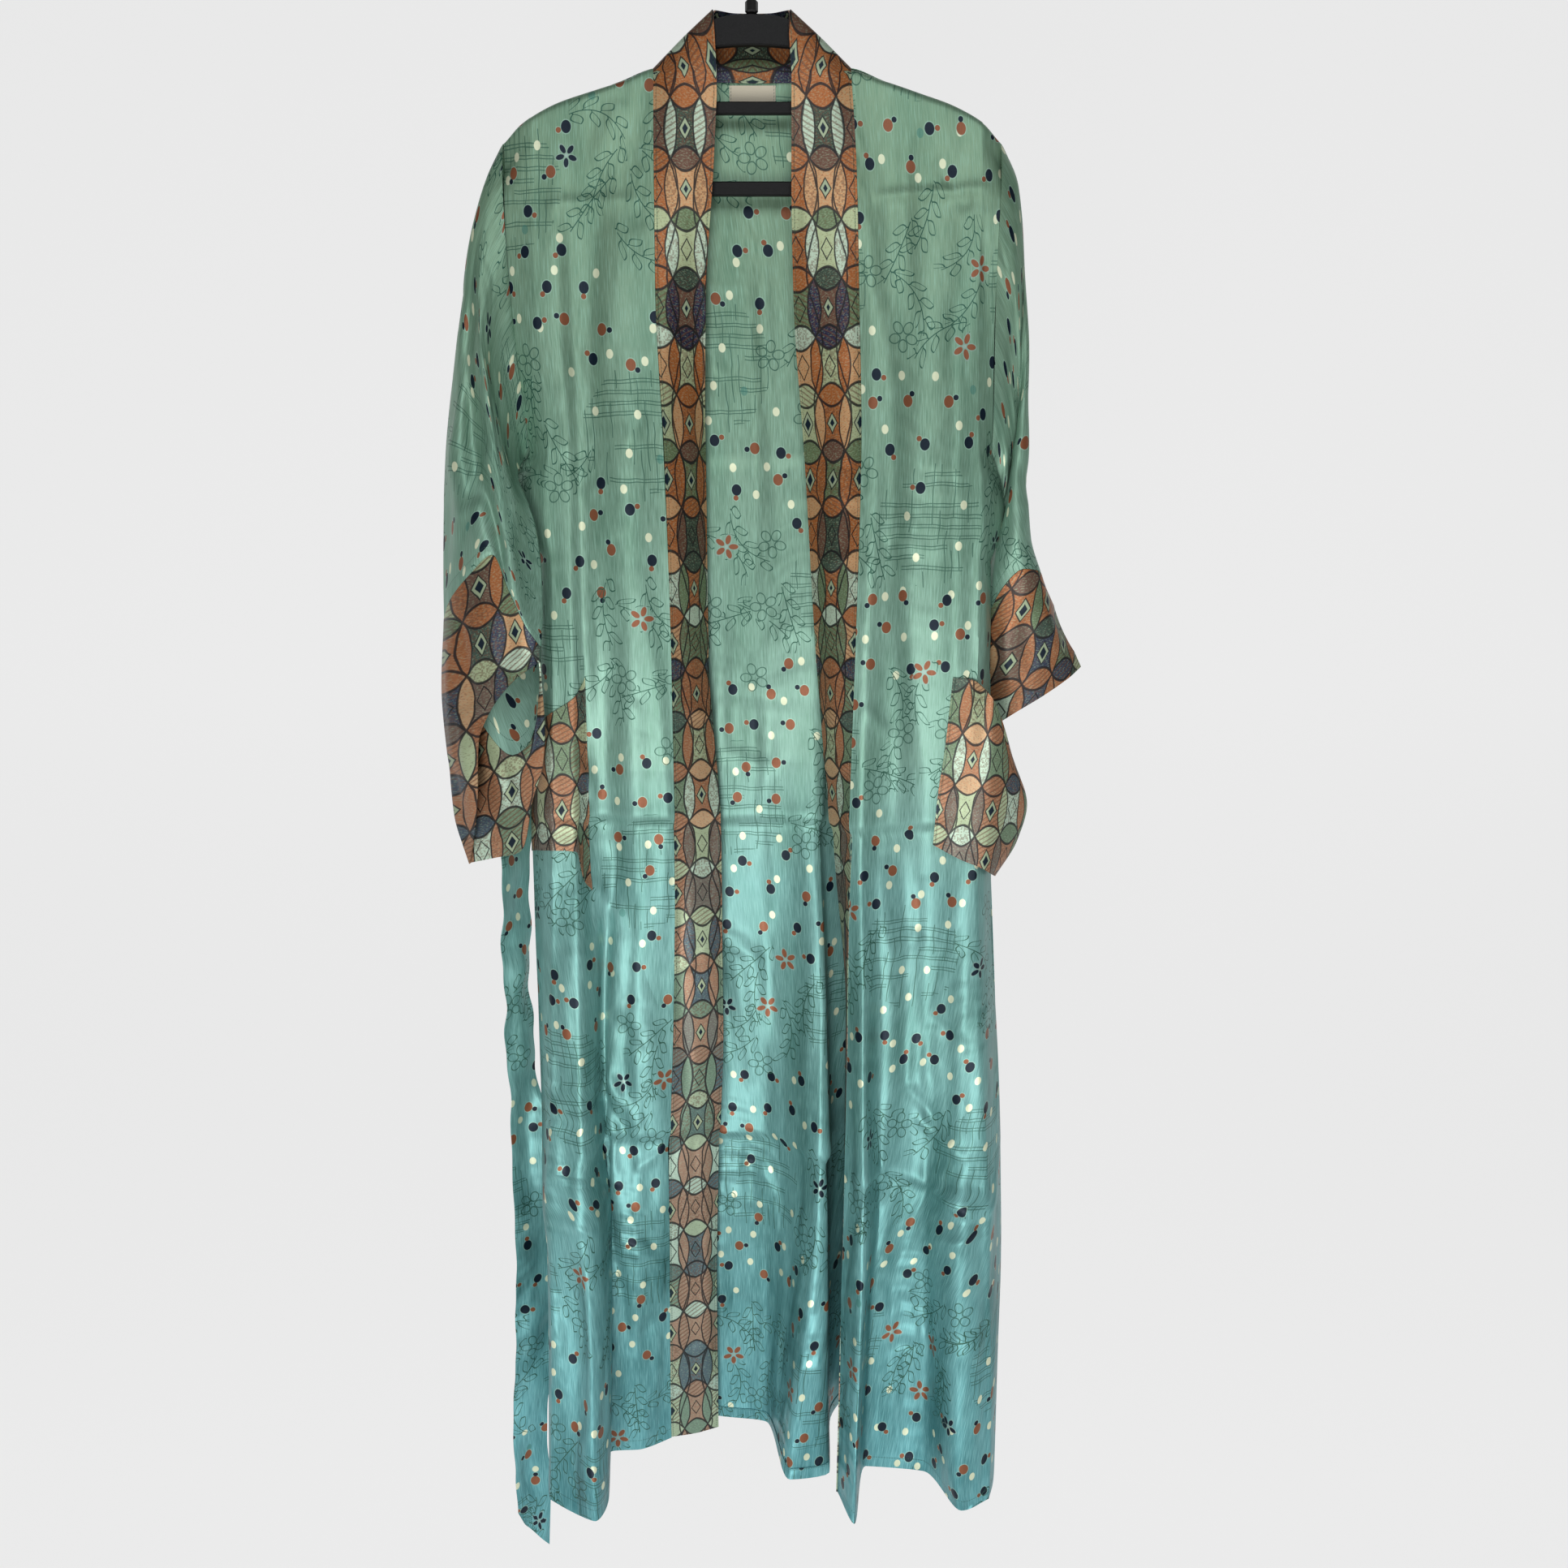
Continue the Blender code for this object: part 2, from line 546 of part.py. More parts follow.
def coons(top, foot, first, last):
    """A smooth patch between four lines: top and foot run across, first and last run down."""
    across, down = len(top), len(first)
    u = np.linspace(0, 1, across)[:, None, None]
    v = np.linspace(0, 1, down)[None, :, None]
    ruled = (1 - v) * top[:, None, :] + v * foot[:, None, :]
    ruled = ruled + (1 - u) * first[None, :, :] + u * last[None, :, :]
    corners = (1 - u) * (1 - v) * top[0] + u * (1 - v) * top[-1] + (1 - u) * v * foot[0] + u * v * foot[-1]
    return ruled - corners


def armhole_line(side, face, count):
    """The sleeve's edge beside the armhole seam, from the shoulder tip to the underarm."""
    part = (1 - np.cos(np.linspace(0.0, 1.0, count) * math.pi)) / 2
    z = TIP_Z + (UNDERARM_Z - TIP_Z) * part
    x = side_x(side, z) + side * SLEEVE_PITCH[side]
    y = face * np.maximum(armhole(z), EDGE_FOLD)
    return np.stack([x, y, z], axis=1)


def sleeve_ring(side, lines, across, down):
    """A sleeve as a ring: its near layer from the outer fold to the inner one, and its far layer back."""
    scaled = {name: np.array(line, float) * MM for name, line in lines.items()}
    layers = []
    for face, seam in ((-1, "near_seam"), (1, "far_seam")):
        top = armhole_line(side, face, across)
        foot = along(scaled[seam], across)
        outer, inner = along(scaled["outer"], down), along(scaled["inner"], down)
        outer[:, 1] += face * EDGE_FOLD
        inner[:, 1] += face * EDGE_FOLD
        foot[:, 1] += face * EDGE_FOLD
        outer[0], inner[0] = top[0], top[-1]
        outer[-1], inner[-1] = foot[0], foot[-1]
        layers.append(coons(top, foot, outer, inner))
    near, far = layers
    bow = np.outer(np.sin(np.linspace(0, math.pi, across)), np.sin(np.linspace(0, math.pi, down)))
    bow *= side * SLEEVE_BOW[side]
    near[:, :, 0] += bow
    far[:, :, 0] += bow
    if side < 0:
        near = step_fold(near)
    else:
        far = ripple(far, RIPPLE_HEIGHT * MM)
    return np.concatenate([near, far[::-1]])


def step_fold(near):
    """The right sleeve's long step: its outer strip stands in front, with a valley and a soft ridge beside
    it."""
    across, down = near.shape[:2]
    u = np.linspace(0, 1, across)[:, None]
    v = np.linspace(0, 1, down)[None, :]
    start, run, curve = STEP_EDGE
    edge = start + run * v ** curve
    lift = np.zeros(near.shape[:2])
    for (place, width, height), middle, grow in ((STEP_STRIP, edge, v), (STEP_VALLEY, edge, 1),
                                                 (STEP_RIDGE, 0, 1)):
        lift += height * MM * grow * np.exp(-(((u - middle - place) / width) ** 2))
    fade = np.sin(np.clip(v * STEP_START, 0, 1) * math.pi / 2) * np.clip((1 - v) * STEP_END, 0, 1) ** 0.5
    rim = np.sin(np.clip(u, 0, 1) * math.pi) ** 0.5
    near = near.copy()
    near[:, :, 1] -= lift * fade * rim
    return near


def ripple(layer, height):
    """Soft lengthwise folds along a sleeve layer, gone at its edges."""
    across, down = layer.shape[:2]
    u = np.linspace(0, 1, across)[:, None]
    v = np.linspace(0, 1, down)[None, :]
    layer = layer.copy()
    layer[:, :, 1] -= height * np.sin(u * math.pi * RIPPLES) * np.sin(v * math.pi)
    return layer


def cuff_ring(side, lines, sleeve):
    """A cuff as a ring that starts just past the sleeve's end."""
    across, down = SLEEVE_POINTS, CUFF_ROWS
    hems = {name: np.array(line, float) * MM for name, line in lines.items()}
    end = sleeve[:, -1]
    feet = []
    for face, hem in ((-1, "near_hem"), (1, "far_hem")):
        feet.append(along(hems[hem], across) + (0, face * EDGE_FOLD, 0))
    rim_way = np.roll(end, -1, axis=0) - np.roll(end, 1, axis=0)
    rim_way /= np.linalg.norm(rim_way, axis=1, keepdims=True)
    out = np.concatenate([feet[0], feet[1][::-1]]) - end
    out -= rim_way * (out * rim_way).sum(axis=1, keepdims=True)
    out /= np.linalg.norm(out, axis=1, keepdims=True)
    top = end + out * CUFF_PITCH[side]
    layers = []
    for face, foot, rim in ((-1, feet[0], top[:across]), (1, feet[1], top[across:][::-1])):
        first = along(hems["outer"], down)
        first[:, 1] += face * EDGE_FOLD
        first[0], first[-1] = rim[0], foot[0]
        last = np.linspace(rim[-1], foot[-1], down)
        layers.append(coons(rim, foot, first, last))
    return np.concatenate([layers[0], layers[1][::-1]])


def pocket_right_grid(front):
    """The right pocket, one layer in front of the panel and on the panel's own columns."""
    out = normals(front, False)
    out *= -np.sign(out[:, :, 1].mean())
    first, last = POCKET_RIGHT_COLUMNS
    table = np.array(POCKET_RIGHT, float)
    lines = []
    for k in range(last, first - 1, -1):
        part = (last - k) / (last - first)
        mouth, foot = smooth(table[:, 0], table[:, 1:], [part])[0] * MM
        column = front[k] + out[k] * POCKET_PITCH
        z = np.linspace(mouth, foot, POCKET_ROWS)
        lines.append(np.stack([np.interp(-z, -column[:, 2], column[:, axis]) for axis in range(3)], axis=1))
    return np.array(lines[::-1])


def pocket_left_grid():
    """The left pocket, a sheet that bags out past the side, open at its mouth."""
    stations = np.arange(len(POCKET_LEFT_MOUTH))
    places = spread(stations, (POCKET_CELLS,) * (len(stations) - 1))
    rises = smooth(stations, np.array([POCKET_LEFT_MOUTH, POCKET_LEFT_FOOT], float).T, places) * MM
    heights = np.linspace(POCKET_LEFT[0][0], POCKET_LEFT[-1][0], POCKET_ROWS) * MM
    down = np.linspace(0, 1, POCKET_ROWS)
    lines = []
    for column, (mouth, foot) in zip(columns_of(POCKET_LEFT, places), rises):
        xy = read_column(POCKET_LEFT, column, heights)
        lines.append(np.column_stack([xy, heights + mouth + (foot - mouth) * down]))
    return np.array(lines)


def belt_grid():
    """The belt as three lines of points: its outer or upper edge, its middle and its other edge."""
    table = np.array(BELT, float)
    middle = table[:, :3] * MM
    reach = np.concatenate([[0], np.cumsum(np.linalg.norm(np.diff(middle, axis=0), axis=1))])
    side = np.where(middle[:, 0] < 0, -1.0, 1.0)
    tilt, turn = np.radians(table[:, 3]), np.radians(table[:, 4])
    width = np.stack([side * np.cos(tilt) * np.cos(turn), -np.cos(tilt) * np.sin(turn), np.sin(tilt)], axis=1)
    read = smooth(reach, np.concatenate([middle, width], axis=1), np.linspace(0, reach[-1], BELT_CELLS + 1))
    across = read[:, 3:] / np.linalg.norm(read[:, 3:], axis=1, keepdims=True) * BELT_WIDTH / 2
    outer, inner = read[:, :3] + across, read[:, :3] - across
    (first_out, first_in), (last_out, last_in) = np.array((BELT_TIP_RIGHT, BELT_TIP_LEFT), float) * MM
    outer = np.concatenate([[first_out], outer, [last_out]])
    inner = np.concatenate([[first_in], inner, [last_in]])
    return np.array([outer, (outer + inner) / 2, inner])


def loop_grid(x_middle, back):
    """A belt loop: flat on the back panel at its ends, and one layer off the belt between them."""
    upright = np.array([row[:2] for row in BELT if row[3] == 90], float) * MM
    belt_y = float(np.interp(x_middle, upright[:, 0], upright[:, 1]))
    lines = []
    for x in x_middle + np.linspace(-0.5, 0.5, LOOP_POINTS) * LOOP_WIDTH:
        ends = [(x, on_panel(back, x, z) + LOOP_PITCH, z) for z in LOOP_ENDS]
        over = [(x, belt_y + LAYER_PITCH, z) for z in np.linspace(*LOOP_SHOULDERS, LOOP_POINTS)]
        lines.append([ends[0]] + over + [ends[1]])
    return np.array(lines)


def label_grid(back):
    """The neck label, flat against the inside of the back."""
    lines = []
    across, down = LABEL_POINTS
    for x in np.linspace(-0.5, 0.5, across) * LABEL_WIDTH:
        heights = np.linspace(LABEL_TOP, LABEL_FOOT, down)
        lines.append([(x, on_panel(back, x, z) - LAYER_PITCH, z) for z in heights])
    return np.array(lines)


def add_cloth():
    body = material("printed_satin")
    contrast = material("contrast_satin")
    fronts = {side: front_grid(side) for side in (-1, 1)}
    back = back_grid()
    for name, rows in BACK_LENGTHS.items():
        add_wall(name, back_length(back, *rows), body)
    names = {-1: "right", 1: "left"}
    for side, name in names.items():
        add_wall("front_" + name, fronts[side], body)
        add_wall("front_band_" + name, band_grid(side, fronts[side]), contrast)
        lines, cuffs = (SLEEVE_RIGHT, CUFF_RIGHT) if side < 0 else (SLEEVE_LEFT, CUFF_LEFT)
        sleeve = sleeve_ring(side, lines, SLEEVE_POINTS, SLEEVE_ROWS)
        add_wall("sleeve_" + name, sleeve, body, ring=True)
        add_wall("cuff_" + name, cuff_ring(side, cuffs, sleeve), contrast, ring=True)
    add_wall("pocket_right", pocket_right_grid(fronts[-1]), contrast)
    add_wall("pocket_left", pocket_left_grid(), contrast)
    add_wall("belt", belt_grid(), body)
    for name, x_middle in LOOP_PLACES.items():
        add_wall("belt_loop_" + name, loop_grid(x_middle, back), body)
    add_wall("neck_label", label_grid(back), material("label_tape"), LABEL_THICK)


def tube_faces(rings, sides):
    """Faces of a closed tube whose rings of points follow each other, with a flat cap at each end."""
    faces = [tuple(range(sides))[::-1], tuple(range((rings - 1) * sides, rings * sides))]
    for i in range(rings - 1):
        for k in range(sides):
            n = (k + 1) % sides
            faces.append((i * sides + k, i * sides + n, (i + 1) * sides + n, (i + 1) * sides + k))
    return faces


def section(across, deep, bevel):
    """The eight corners of a bar's section with bevelled edges: offsets across its height and its
    thickness."""
    a, d = across / 2, deep / 2
    return ((a, -d + bevel), (a, d - bevel), (a - bevel, d), (bevel - a, d), (-a, d - bevel), (-a, bevel - d),
            (bevel - a, -d), (a - bevel, -d))


def add_arms(paint):
    """The hanger's arch and arms, swept from one tip to the other."""
    table = np.array(ARMS, float) * MM
    reach = np.concatenate([[0], np.cumsum(np.linalg.norm(np.diff(table[:, :2], axis=0), axis=1))])
    right = smooth(reach, table, np.linspace(0, reach[-1], ARM_CELLS + 1))
    path = np.concatenate([right[:0:-1] * (-1, 1, 1), right])
    way = np.gradient(path[:, :2], axis=0)
    way /= np.linalg.norm(way, axis=1, keepdims=True)
    points = []
    for (x, z, tall), (dx, dz) in zip(path, way):
        points += [(x - dz * up, back, z + dx * up) for up, back in section(tall, ARM_THICK, BEVEL)]
    add_mesh("hanger_frame", points, tube_faces(len(path), 8), paint)


def add_bar(name, z_middle, tall, reach, paint):
    corners = section(tall, BAR_THICK, BEVEL)
    points = [(x, back, z_middle + up) for x in (-reach, reach) for up, back in corners]
    add_mesh(name, points, tube_faces(2, 8), paint)


def add_hook(paint):
    """The hook with its collar, as one turned and bent wire."""
    turned = np.radians(np.linspace(*HOOK_TURN, HOOK_ARC_POINTS))
    radius = HOOK_RADIUS + HOOK_WIRE
    arc = np.stack([radius * np.cos(turned), radius * np.sin(turned) - HOOK_RADIUS], axis=1)
    rise = along(np.concatenate([np.array(HOOK_RISE) * MM, arc[:1]]), HOOK_RISE_POINTS)
    straight = [(0, HOOK_FOOT), (0, HOOK_FOOT + BEVEL), (0, COLLAR_TOP - BEVEL), (0, COLLAR_TOP),
                (0, COLLAR_TOP + MM / 4)]
    radii = [COLLAR_RADIUS - BEVEL, COLLAR_RADIUS, COLLAR_RADIUS, COLLAR_RADIUS - BEVEL]
    path = np.concatenate([straight, rise[:-1], arc])
    radii += [HOOK_WIRE] * (len(path) - len(radii))
    way = np.gradient(path, axis=0)
    way /= np.linalg.norm(way, axis=1, keepdims=True)
    points = []
    for (x, z), (dx, dz), r in zip(path, way, radii):
        for angle in np.arange(HOOK_SIDES) * 2 * math.pi / HOOK_SIDES:
            up, back = r * math.cos(angle), r * math.sin(angle)
            points.append((x - dz * up, back, z + dx * up))
    add_mesh("hanger_hook", points, tube_faces(len(path), HOOK_SIDES), paint)


def add_hanger():
    plastic = material("black_plastic")
    add_arms(plastic)
    add_bar("hanger_bar_upper", *BAR_UPPER, plastic)
    add_bar("hanger_bar_lower", *BAR_LOWER, plastic)
    add_hook(material("bright_steel"))


def main():
    for old in list(bpy.data.objects):
        bpy.data.objects.remove(old, do_unlink=True)
    add_cloth()
    add_hanger()


main()
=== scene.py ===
"""Long kimono robe on a hanger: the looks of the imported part, as an add-on.

Each button in the sidebar panel builds one piece, or one group of like pieces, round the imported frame. The
cloth follows the same named sections as the CAD part, read more finely, as a thin shell with its creases, and
its prints are worked out from the piece's own lengths in metres.
"""

import math

import bmesh
import bpy
import numpy as np
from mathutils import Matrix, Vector


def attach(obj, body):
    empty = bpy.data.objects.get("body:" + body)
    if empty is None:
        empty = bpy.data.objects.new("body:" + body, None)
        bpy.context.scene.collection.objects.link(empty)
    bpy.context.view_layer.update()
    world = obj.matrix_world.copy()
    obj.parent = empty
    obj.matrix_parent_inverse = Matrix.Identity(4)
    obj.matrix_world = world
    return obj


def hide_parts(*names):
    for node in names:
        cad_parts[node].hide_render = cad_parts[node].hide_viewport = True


bl_info = {
    "name": "Kimono Robe Builder",
    "version": (1, 0, 0),
    "blender": (4, 5, 0),
    "location": "View3D > Sidebar > Robe",
    "description": "Builds a long satin kimono robe on a hanger around its packed frame",
    "category": "Object",
}

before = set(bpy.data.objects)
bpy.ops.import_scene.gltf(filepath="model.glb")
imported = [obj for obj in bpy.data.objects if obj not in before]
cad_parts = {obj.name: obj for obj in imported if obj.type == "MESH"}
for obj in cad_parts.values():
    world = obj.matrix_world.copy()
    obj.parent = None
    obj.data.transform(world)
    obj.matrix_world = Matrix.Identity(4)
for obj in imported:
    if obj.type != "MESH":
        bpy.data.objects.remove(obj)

# Driving dimensions, in metres, and how finely each piece is read. The sections below are in millimetres
MM = 0.001
SEAM_PITCH = 0.0002
SLEEVE_PITCH = 0.0003
CUFF_PITCH = 0.0003
SLEEVE_BOW = {-1: 0.005, 1: 0.012}
POCKET_PITCH = 0.0014
FLAT_SEAM = 0.0002
LAYER_PITCH = 0.0012
HEM_Z = -1.400
NECK_X = 0.0775
TIP_Z = -0.183
UNDERARM_Z = -0.430
ARMHOLE_DEPTH = 0.022
NECK_SEAM_Z = -0.130
NECK_PITCH = 0.0004
NECK_JOIN = 0.00001
COLLAR_TOP = -0.0772
TOP_TURN = 0.006
TOP_TURN_PARTS = (0.0, 0.18, 0.36, 0.54, 0.70, 0.84, 0.94)
CORNER_STOPS = ((0.0, 0.0), (0.36, 0.22), (0.72, 0.60), (0.93, 0.88), (1.0, 1.0))
FRONT_CELLS = (3, 2, 2, 2, 2)
BACK_CELLS = (2, 3, 2, 2, 3, 1, 2, 2, 3, 2)
FRONT_FINE = 6
BACK_FINE = 5
FRONT_ROWS = 400
BACK_ROWS = 300
NECK_ROWS = 44
BAND_COLUMNS = 15
SLEEVE_POINTS = 46
SLEEVE_ROWS = 104
CUFF_ROWS = 58
EDGE_FOLD = 0.0018
POCKET_ROWS = 48
POCKET_FINE = 7
BELT_WIDTH = 0.036
BELT_CELLS = 420
BELT_COLUMNS = 11
LOOP_WIDTH = 0.008
LOOP_PITCH = 0.0022
LOOP_POINTS = (5, 3, 25)
LABEL_POINTS = (13, 9)
TURN_UP_ROWS = 5
TURN_UP_PITCH = 1.15
SMOOTH_ANGLE = 50
WELD = 1e-6
FAR_AWAY = 1.0
TINY = 1e-12

# How a crease bows and fades: the bow as a part of its run, the turn from crease to crease, the fade's power
CREASE_BOW = (0.04, 2.4)
CREASE_FADE = 0.55
RING_FADE = 0.3

# The long shallow waves: how many, then each way's middle, swing and turn, and the turns of seed and wave
WAVES = 6
WAVE_ACROSS = (46, 23, 3.1)
WAVE_DOWN = (9, 7, 1.3)
WAVE_TURNS = (1.7, 2.1, 5, 4)
BACK_SEED = 3

# The belt's crinkles: for each wave its turns a metre along and across, and its height
BELT_WAVES = ((131, 60, 0.0006), (57, -110, 0.0011))
BELT_FOLD = (17, 0.6, 0.0014)
BELT_DRIFT = ((7.3, 0, 2.1), (19.7, 1.1, 1))

# The body's print, in metres. A cell is its width, height, skew from row to row, jitter and seed. A patch is
# its place as parts of the patches' cell, then its reach. Each cell has its own values of 0 to 1, and what
# says from or below is read against one of them
PATCH_CELL = (0.204, 0.193)
PATCH_TALL = 0.8
LEAF_PATCH = (0.10, 0.35, 0.058)
OPEN_PATCH = (0.10, 0.35, 0.066)
HATCH_PATCH = (0.62, 0.30, 0.047)

# Its dots: large ones, each with a small one beside it in a pair, and pale ones between
DOT_CELL = (0.034, 0.031, 0.37, 0.40, 1.0)
DOT_SIZE = 0.0043
DOT_TALL = 0.74
PAIR_PITCH = 0.0070
PAIR_SIZE = 0.0023
PALE_CELL = (0.032, 0.034, 0.29, 0.50, 31.0)
PALE_SIZE = 0.0030
PALE_TALL = 0.62
DOT_SOFT = 0.0004
DOT_RIM = 0.0006
PAIR_RIM = 0.0005
RIM_STRENGTH = 0.5
PAIR_TURN = 3.4
WARM_FROM = 0.60
PALE_BELOW = 0.84
PALE_STRENGTH = 0.92
CREAM_FROM = 0.76
CREAM_LESS = 0.35
HATCH_CLEARS = 0.45

# Its sprays: a stem, and leaves in rows. The rows are how far they start below the middle and how many show
LEAF_CELLS = ((0.056, 0.060, 0.43, 0.12, 17.0), (0.051, 0.066, 0.21, 0.12, 41.0))
LEAF_PITCH = 0.0150
LEAF_LENGTH = 0.0132
LEAF_HALF = 0.0031
LEAF_STALK = 0.0014
LEAF_STEM = 0.027
LEAF_BEND = 34.0
LEAF_TURN = 2.6
LEAF_RISE = 0.9
LEAF_TIGHT = 0.74
LEAF_STRETCH = 1.35
LEAF_ROWS = (0.3, 2.2)

# Its flowers, in parts of a petal's reach. A halo is its edge and strength, and a line its half width, place,
# softness and strength
FLOWER_CELL = (0.050, 0.054, 0.31, 0.30, 23.0)
PETAL_OUT = 0.0056
PETAL_LONG = 0.0037
PETAL_HALF = 0.0021
PETAL_TURN = math.tau / 5
PETAL_SOFT = 0.1
PETAL_EDGE = 0.98
PETAL_HALO = (1.30, 0.45)
PETAL_LINE = (0.10, 0.95, 0.08, 0.85)
FLOWER_HEART = 0.24
FLOWER_TURN = 3
FLOWER_BELOW = 0.80
FLOWER_WARM = 0.25
FLOWER_LINED = 0.50
FLOWER_GROWTH = (0.16, 0.24)
LINED_WIDER = 0.35

# Its crosshatched lines: their pitch, and how a noise moves them and their patch. Rows and columns have the
# shift of their runs, a seed and the share left out
HATCH_PITCH = (0.0062, 0.0088)
HATCH_LENGTH = 0.055
HATCH_TICK = 0.028
HATCH_DRIFT = (26, 0.006, 4)
HATCH_ROWS = (0.37, 3.0, 0.45)
HATCH_COLUMNS = (0.41, 7.0, 0.55)
HATCH_GAP = 0.0013
HATCH_STRENGTH = 0.75

# Drawn lines, then stitches with their distances from the edges of hem, band and label
LINE_HALF = 0.00040
LINE_SOFT = 0.00035
STITCH_HALF = 0.00035
STITCH_PITCH = 0.0026
STITCH_SOFT = 0.0002
STITCH_LONG = 0.68
STITCH_STRENGTH = 0.5
STITCH_DEPTH = 0.00015
HEM_STITCH = 0.001
BAND_STITCH = 0.0022
LABEL_STITCH = 0.0012

# The satin's rumples: the heights of the broad, upright and level ones, each one's own noise and warp, where
# the level ones show, and from which height down, how fast and from what share they grow
RUMPLE = (0.018, 0.008, 0.008)
RUMPLE_BROAD = (10, 4.3, 4)
RUMPLE_UPRIGHT = (32, 1.6, 6, 1.5)
RUMPLE_LEVEL = (11, 42, 3)
RUMPLE_PLACES = (5, -2.3)
RUMPLE_FALL = (0.70, 1.5, 0.22)

# The body satin's ground: its streaks and clouds a metre, the heights and rates at which its colour changes
# with each one's share, and the levels and gains of its painted shade and painted sheen: the clouds and the
# dark streaks darken it to shade colours, the pale streaks lighten it to highlight colours. A sheen is its
# roughness and how metallic it is
STREAKS = (1100, 55)
SHADE_CLOUDS = (22, 7)
# The ground's change of colour down the robe is partly its own hue and partly painted light, brighter at the
# hips and a little darker at the hem
MIDDLE_FALL = (0.22, 2.0)
HEM_FALLS = ((0.69, 8, 0.45), (0.95, 2.2, 0.55))
SHADE_CLOUD_GAIN = (0.42, 1.1, 1.2)
SHADE_STREAK_GAIN = (0.52, 1.8)
SHEEN_STREAK_GAIN = (0.52, 1.5)
STREAK_DEPTH = 0.00005
ROUGH_SWING = 0.14
BODY_SHEEN = (0.40, 0.40)
BAND_SHEEN = (0.38, 0.35)

# The contrast print: its ovals' cell, the vine's turns, swing and middle, where it is mirrored, and each
# oval's reach as a part of a cell. A line is its half width and softness, a kite its two reaches and
# softness
OVAL_CELL = (0.026, 0.046)
VINE = (57.0, 0.0055, 0.0125)
OVAL_MIRROR = 0.026
OVAL_REACH = 0.7071
OVAL_DRIFT = (60, 0.0022)
OVAL_SEED = 5.0
OVAL_LINE = (0.024, 0.012)
KITE = (0.22, 0.12, 0.02)
KITE_BELOW = 0.55
KITE_LINE = (0.020, 0.01)
VINE_LINE = (0.0007, 0.0005)
INK_STRENGTH = 0.92

# Its brushed look, the change of colour down the robe, then specks and strokes: specks have the least of
# their own value, the most of their oval's and their strength, strokes their slant, bend, drawn part, least
# value and strength
BRUSH = (420, 160, 900, 260, 3.0)
BRUSH_PALE = (0.50, 2.0)
BRUSH_DARK = (0.47, 3.0)
COOL_FALL = (0.48, 1.8, 0.30)
SPECK = 0.0013
SPECK_SEED = 2.0
SPECK_PARTS = (0.62, 0.30, 0.45)
STROKE_PITCH = 0.0045
STROKE_PARTS = (0.6, 300, 0.34, 0.72, 0.6)
BAND_STREAKS = (1500, 40)
BAND_RUMPLE = (0.7, 0.6)

# How much of a cuff's depth and breadth goes into its print's lengths, and how far the hem's print is moved
CUFF_DEPTH = 0.5
CUFF_LEAN = 0.35
HEM_OFFSET = 31

# The label's weave: its threads a metre each way, their swing and their height
WEAVE = (9000, 7000, 0.12, 0.00008)

# Each plain material's grain: its scale, its swing and middle of roughness, and its height. The paper's has
# its detail in place of a height, and the wire is smoother
PLASTIC_GRAIN = (900.0, 0.15, 0.42, 0.0001)
STEEL_GRAIN = (400.0, 0.14, 0.42, 0.00002)
WIRE_SMOOTH = -0.20
PAPER_GRAIN = (60.0, 0.1, 0.85, 4.0)

# How far the body's sides are let out under the underarms, how far down and how far in, and both its powers
EASE_REACH = {-1: 0.029, 1: 0.012}
EASE_DEPTH = 0.085
EASE_SPAN = 0.032
EASE_POWERS = (0.8, 2)

# A stored fold's own width, its reach above and below its line, its lip's share of its depth and its fade
KEPT_EDGE = 0.0028
KEPT_ABOVE = 0.009
KEPT_BELOW = 0.045
KEPT_LIP = 0.8
KEPT_FADE = 0.35

# The stage, in metres: the floor's front, where it starts to bend up, the bend, the wall's top and half its
# width
FLOOR_FRONT = -7
BEND_START = 1.0
BEND_RADIUS = 1.4
BEND_POINTS = 25
WALL_TOP = 6.0
WALL_HALF = 8

# The camera's sensor in millimetres, and how near it sees
SENSOR = 36
NEAREST = 0.01

# Each light's place, what it looks at, its size and its colour
LIGHTS = {
    "key": ((-0.18, -1.6, -1.22), (0, 0, -0.90), (0.5, 0.7), (1.0, 0.99, 0.965)),
    "fill": ((0.1, -2.2, 0.75), (0, 0, -0.7), (1.2, 1.0), (0.96, 0.98, 1.0)),
}

# The shoulder seam's height over the hanger's arm: distance from the centre, height
SHOULDER = ((0, -132), (46, -131), (77.5, -127), (105, -136), (134, -146), (165, -156), (188, -168),
            (203, -183))

# The back neck's distance behind the hanger: distance from the centre, depth
BACK_NECK = ((0, 19), (46, 17), (70, 5), (80, 0.2), (203, 0.2))

# The side line, by height: height, right side, left side
SIDE_LINE = (
    (-120, -203, 203), (-183, -203, 203), (-300, -199, 200), (-430, -190, 204), (-600, -198, 210),
    (-770, -206, 217), (-950, -208, 229), (-1100, -209, 239), (-1250, -210, 243), (-1400, -213, 243),
)

# Front sections: height, then x and y of the band seam, chest, fold foot, fold edge, fold crest and outer
# roll
FRONT_RIGHT = (
    (-120, (-79, -6), (-105, -6), (-132, -6), (-146, -6), (-160, -6), (-180, -6)),
    (-200, (-80, -11), (-108, -10), (-134, -9), (-147, -9), (-160, -10), (-179, -11)),
    (-300, (-80, -21), (-110, -25), (-136, -20), (-148, -21), (-160, -25), (-178, -26)),
    (-430, (-75, -29), (-105, -35), (-134, -25), (-146, -26), (-156, -31), (-172, -29)),
    (-600, (-72, -30), (-104, -34), (-135, -24), (-148, -25), (-159, -31), (-176, -30)),
    (-770, (-73, -22), (-106, -27), (-138, -18), (-150, -22), (-162, -34), (-182, -35)),
    (-950, (-78, -20), (-110, -27), (-142, -17), (-150, -31), (-162, -53), (-187, -47)),
    (-1100, (-85, -20), (-116, -29), (-145, -19), (-147, -45), (-158, -76), (-190, -62)),
    (-1250, (-88, -17), (-120, -30), (-147, -25), (-144, -70), (-154, -99), (-194, -76)),
    (-1400, (-90, -13), (-122, -31), (-148, -34), (-141, -94), (-151, -119), (-198, -92)),
)
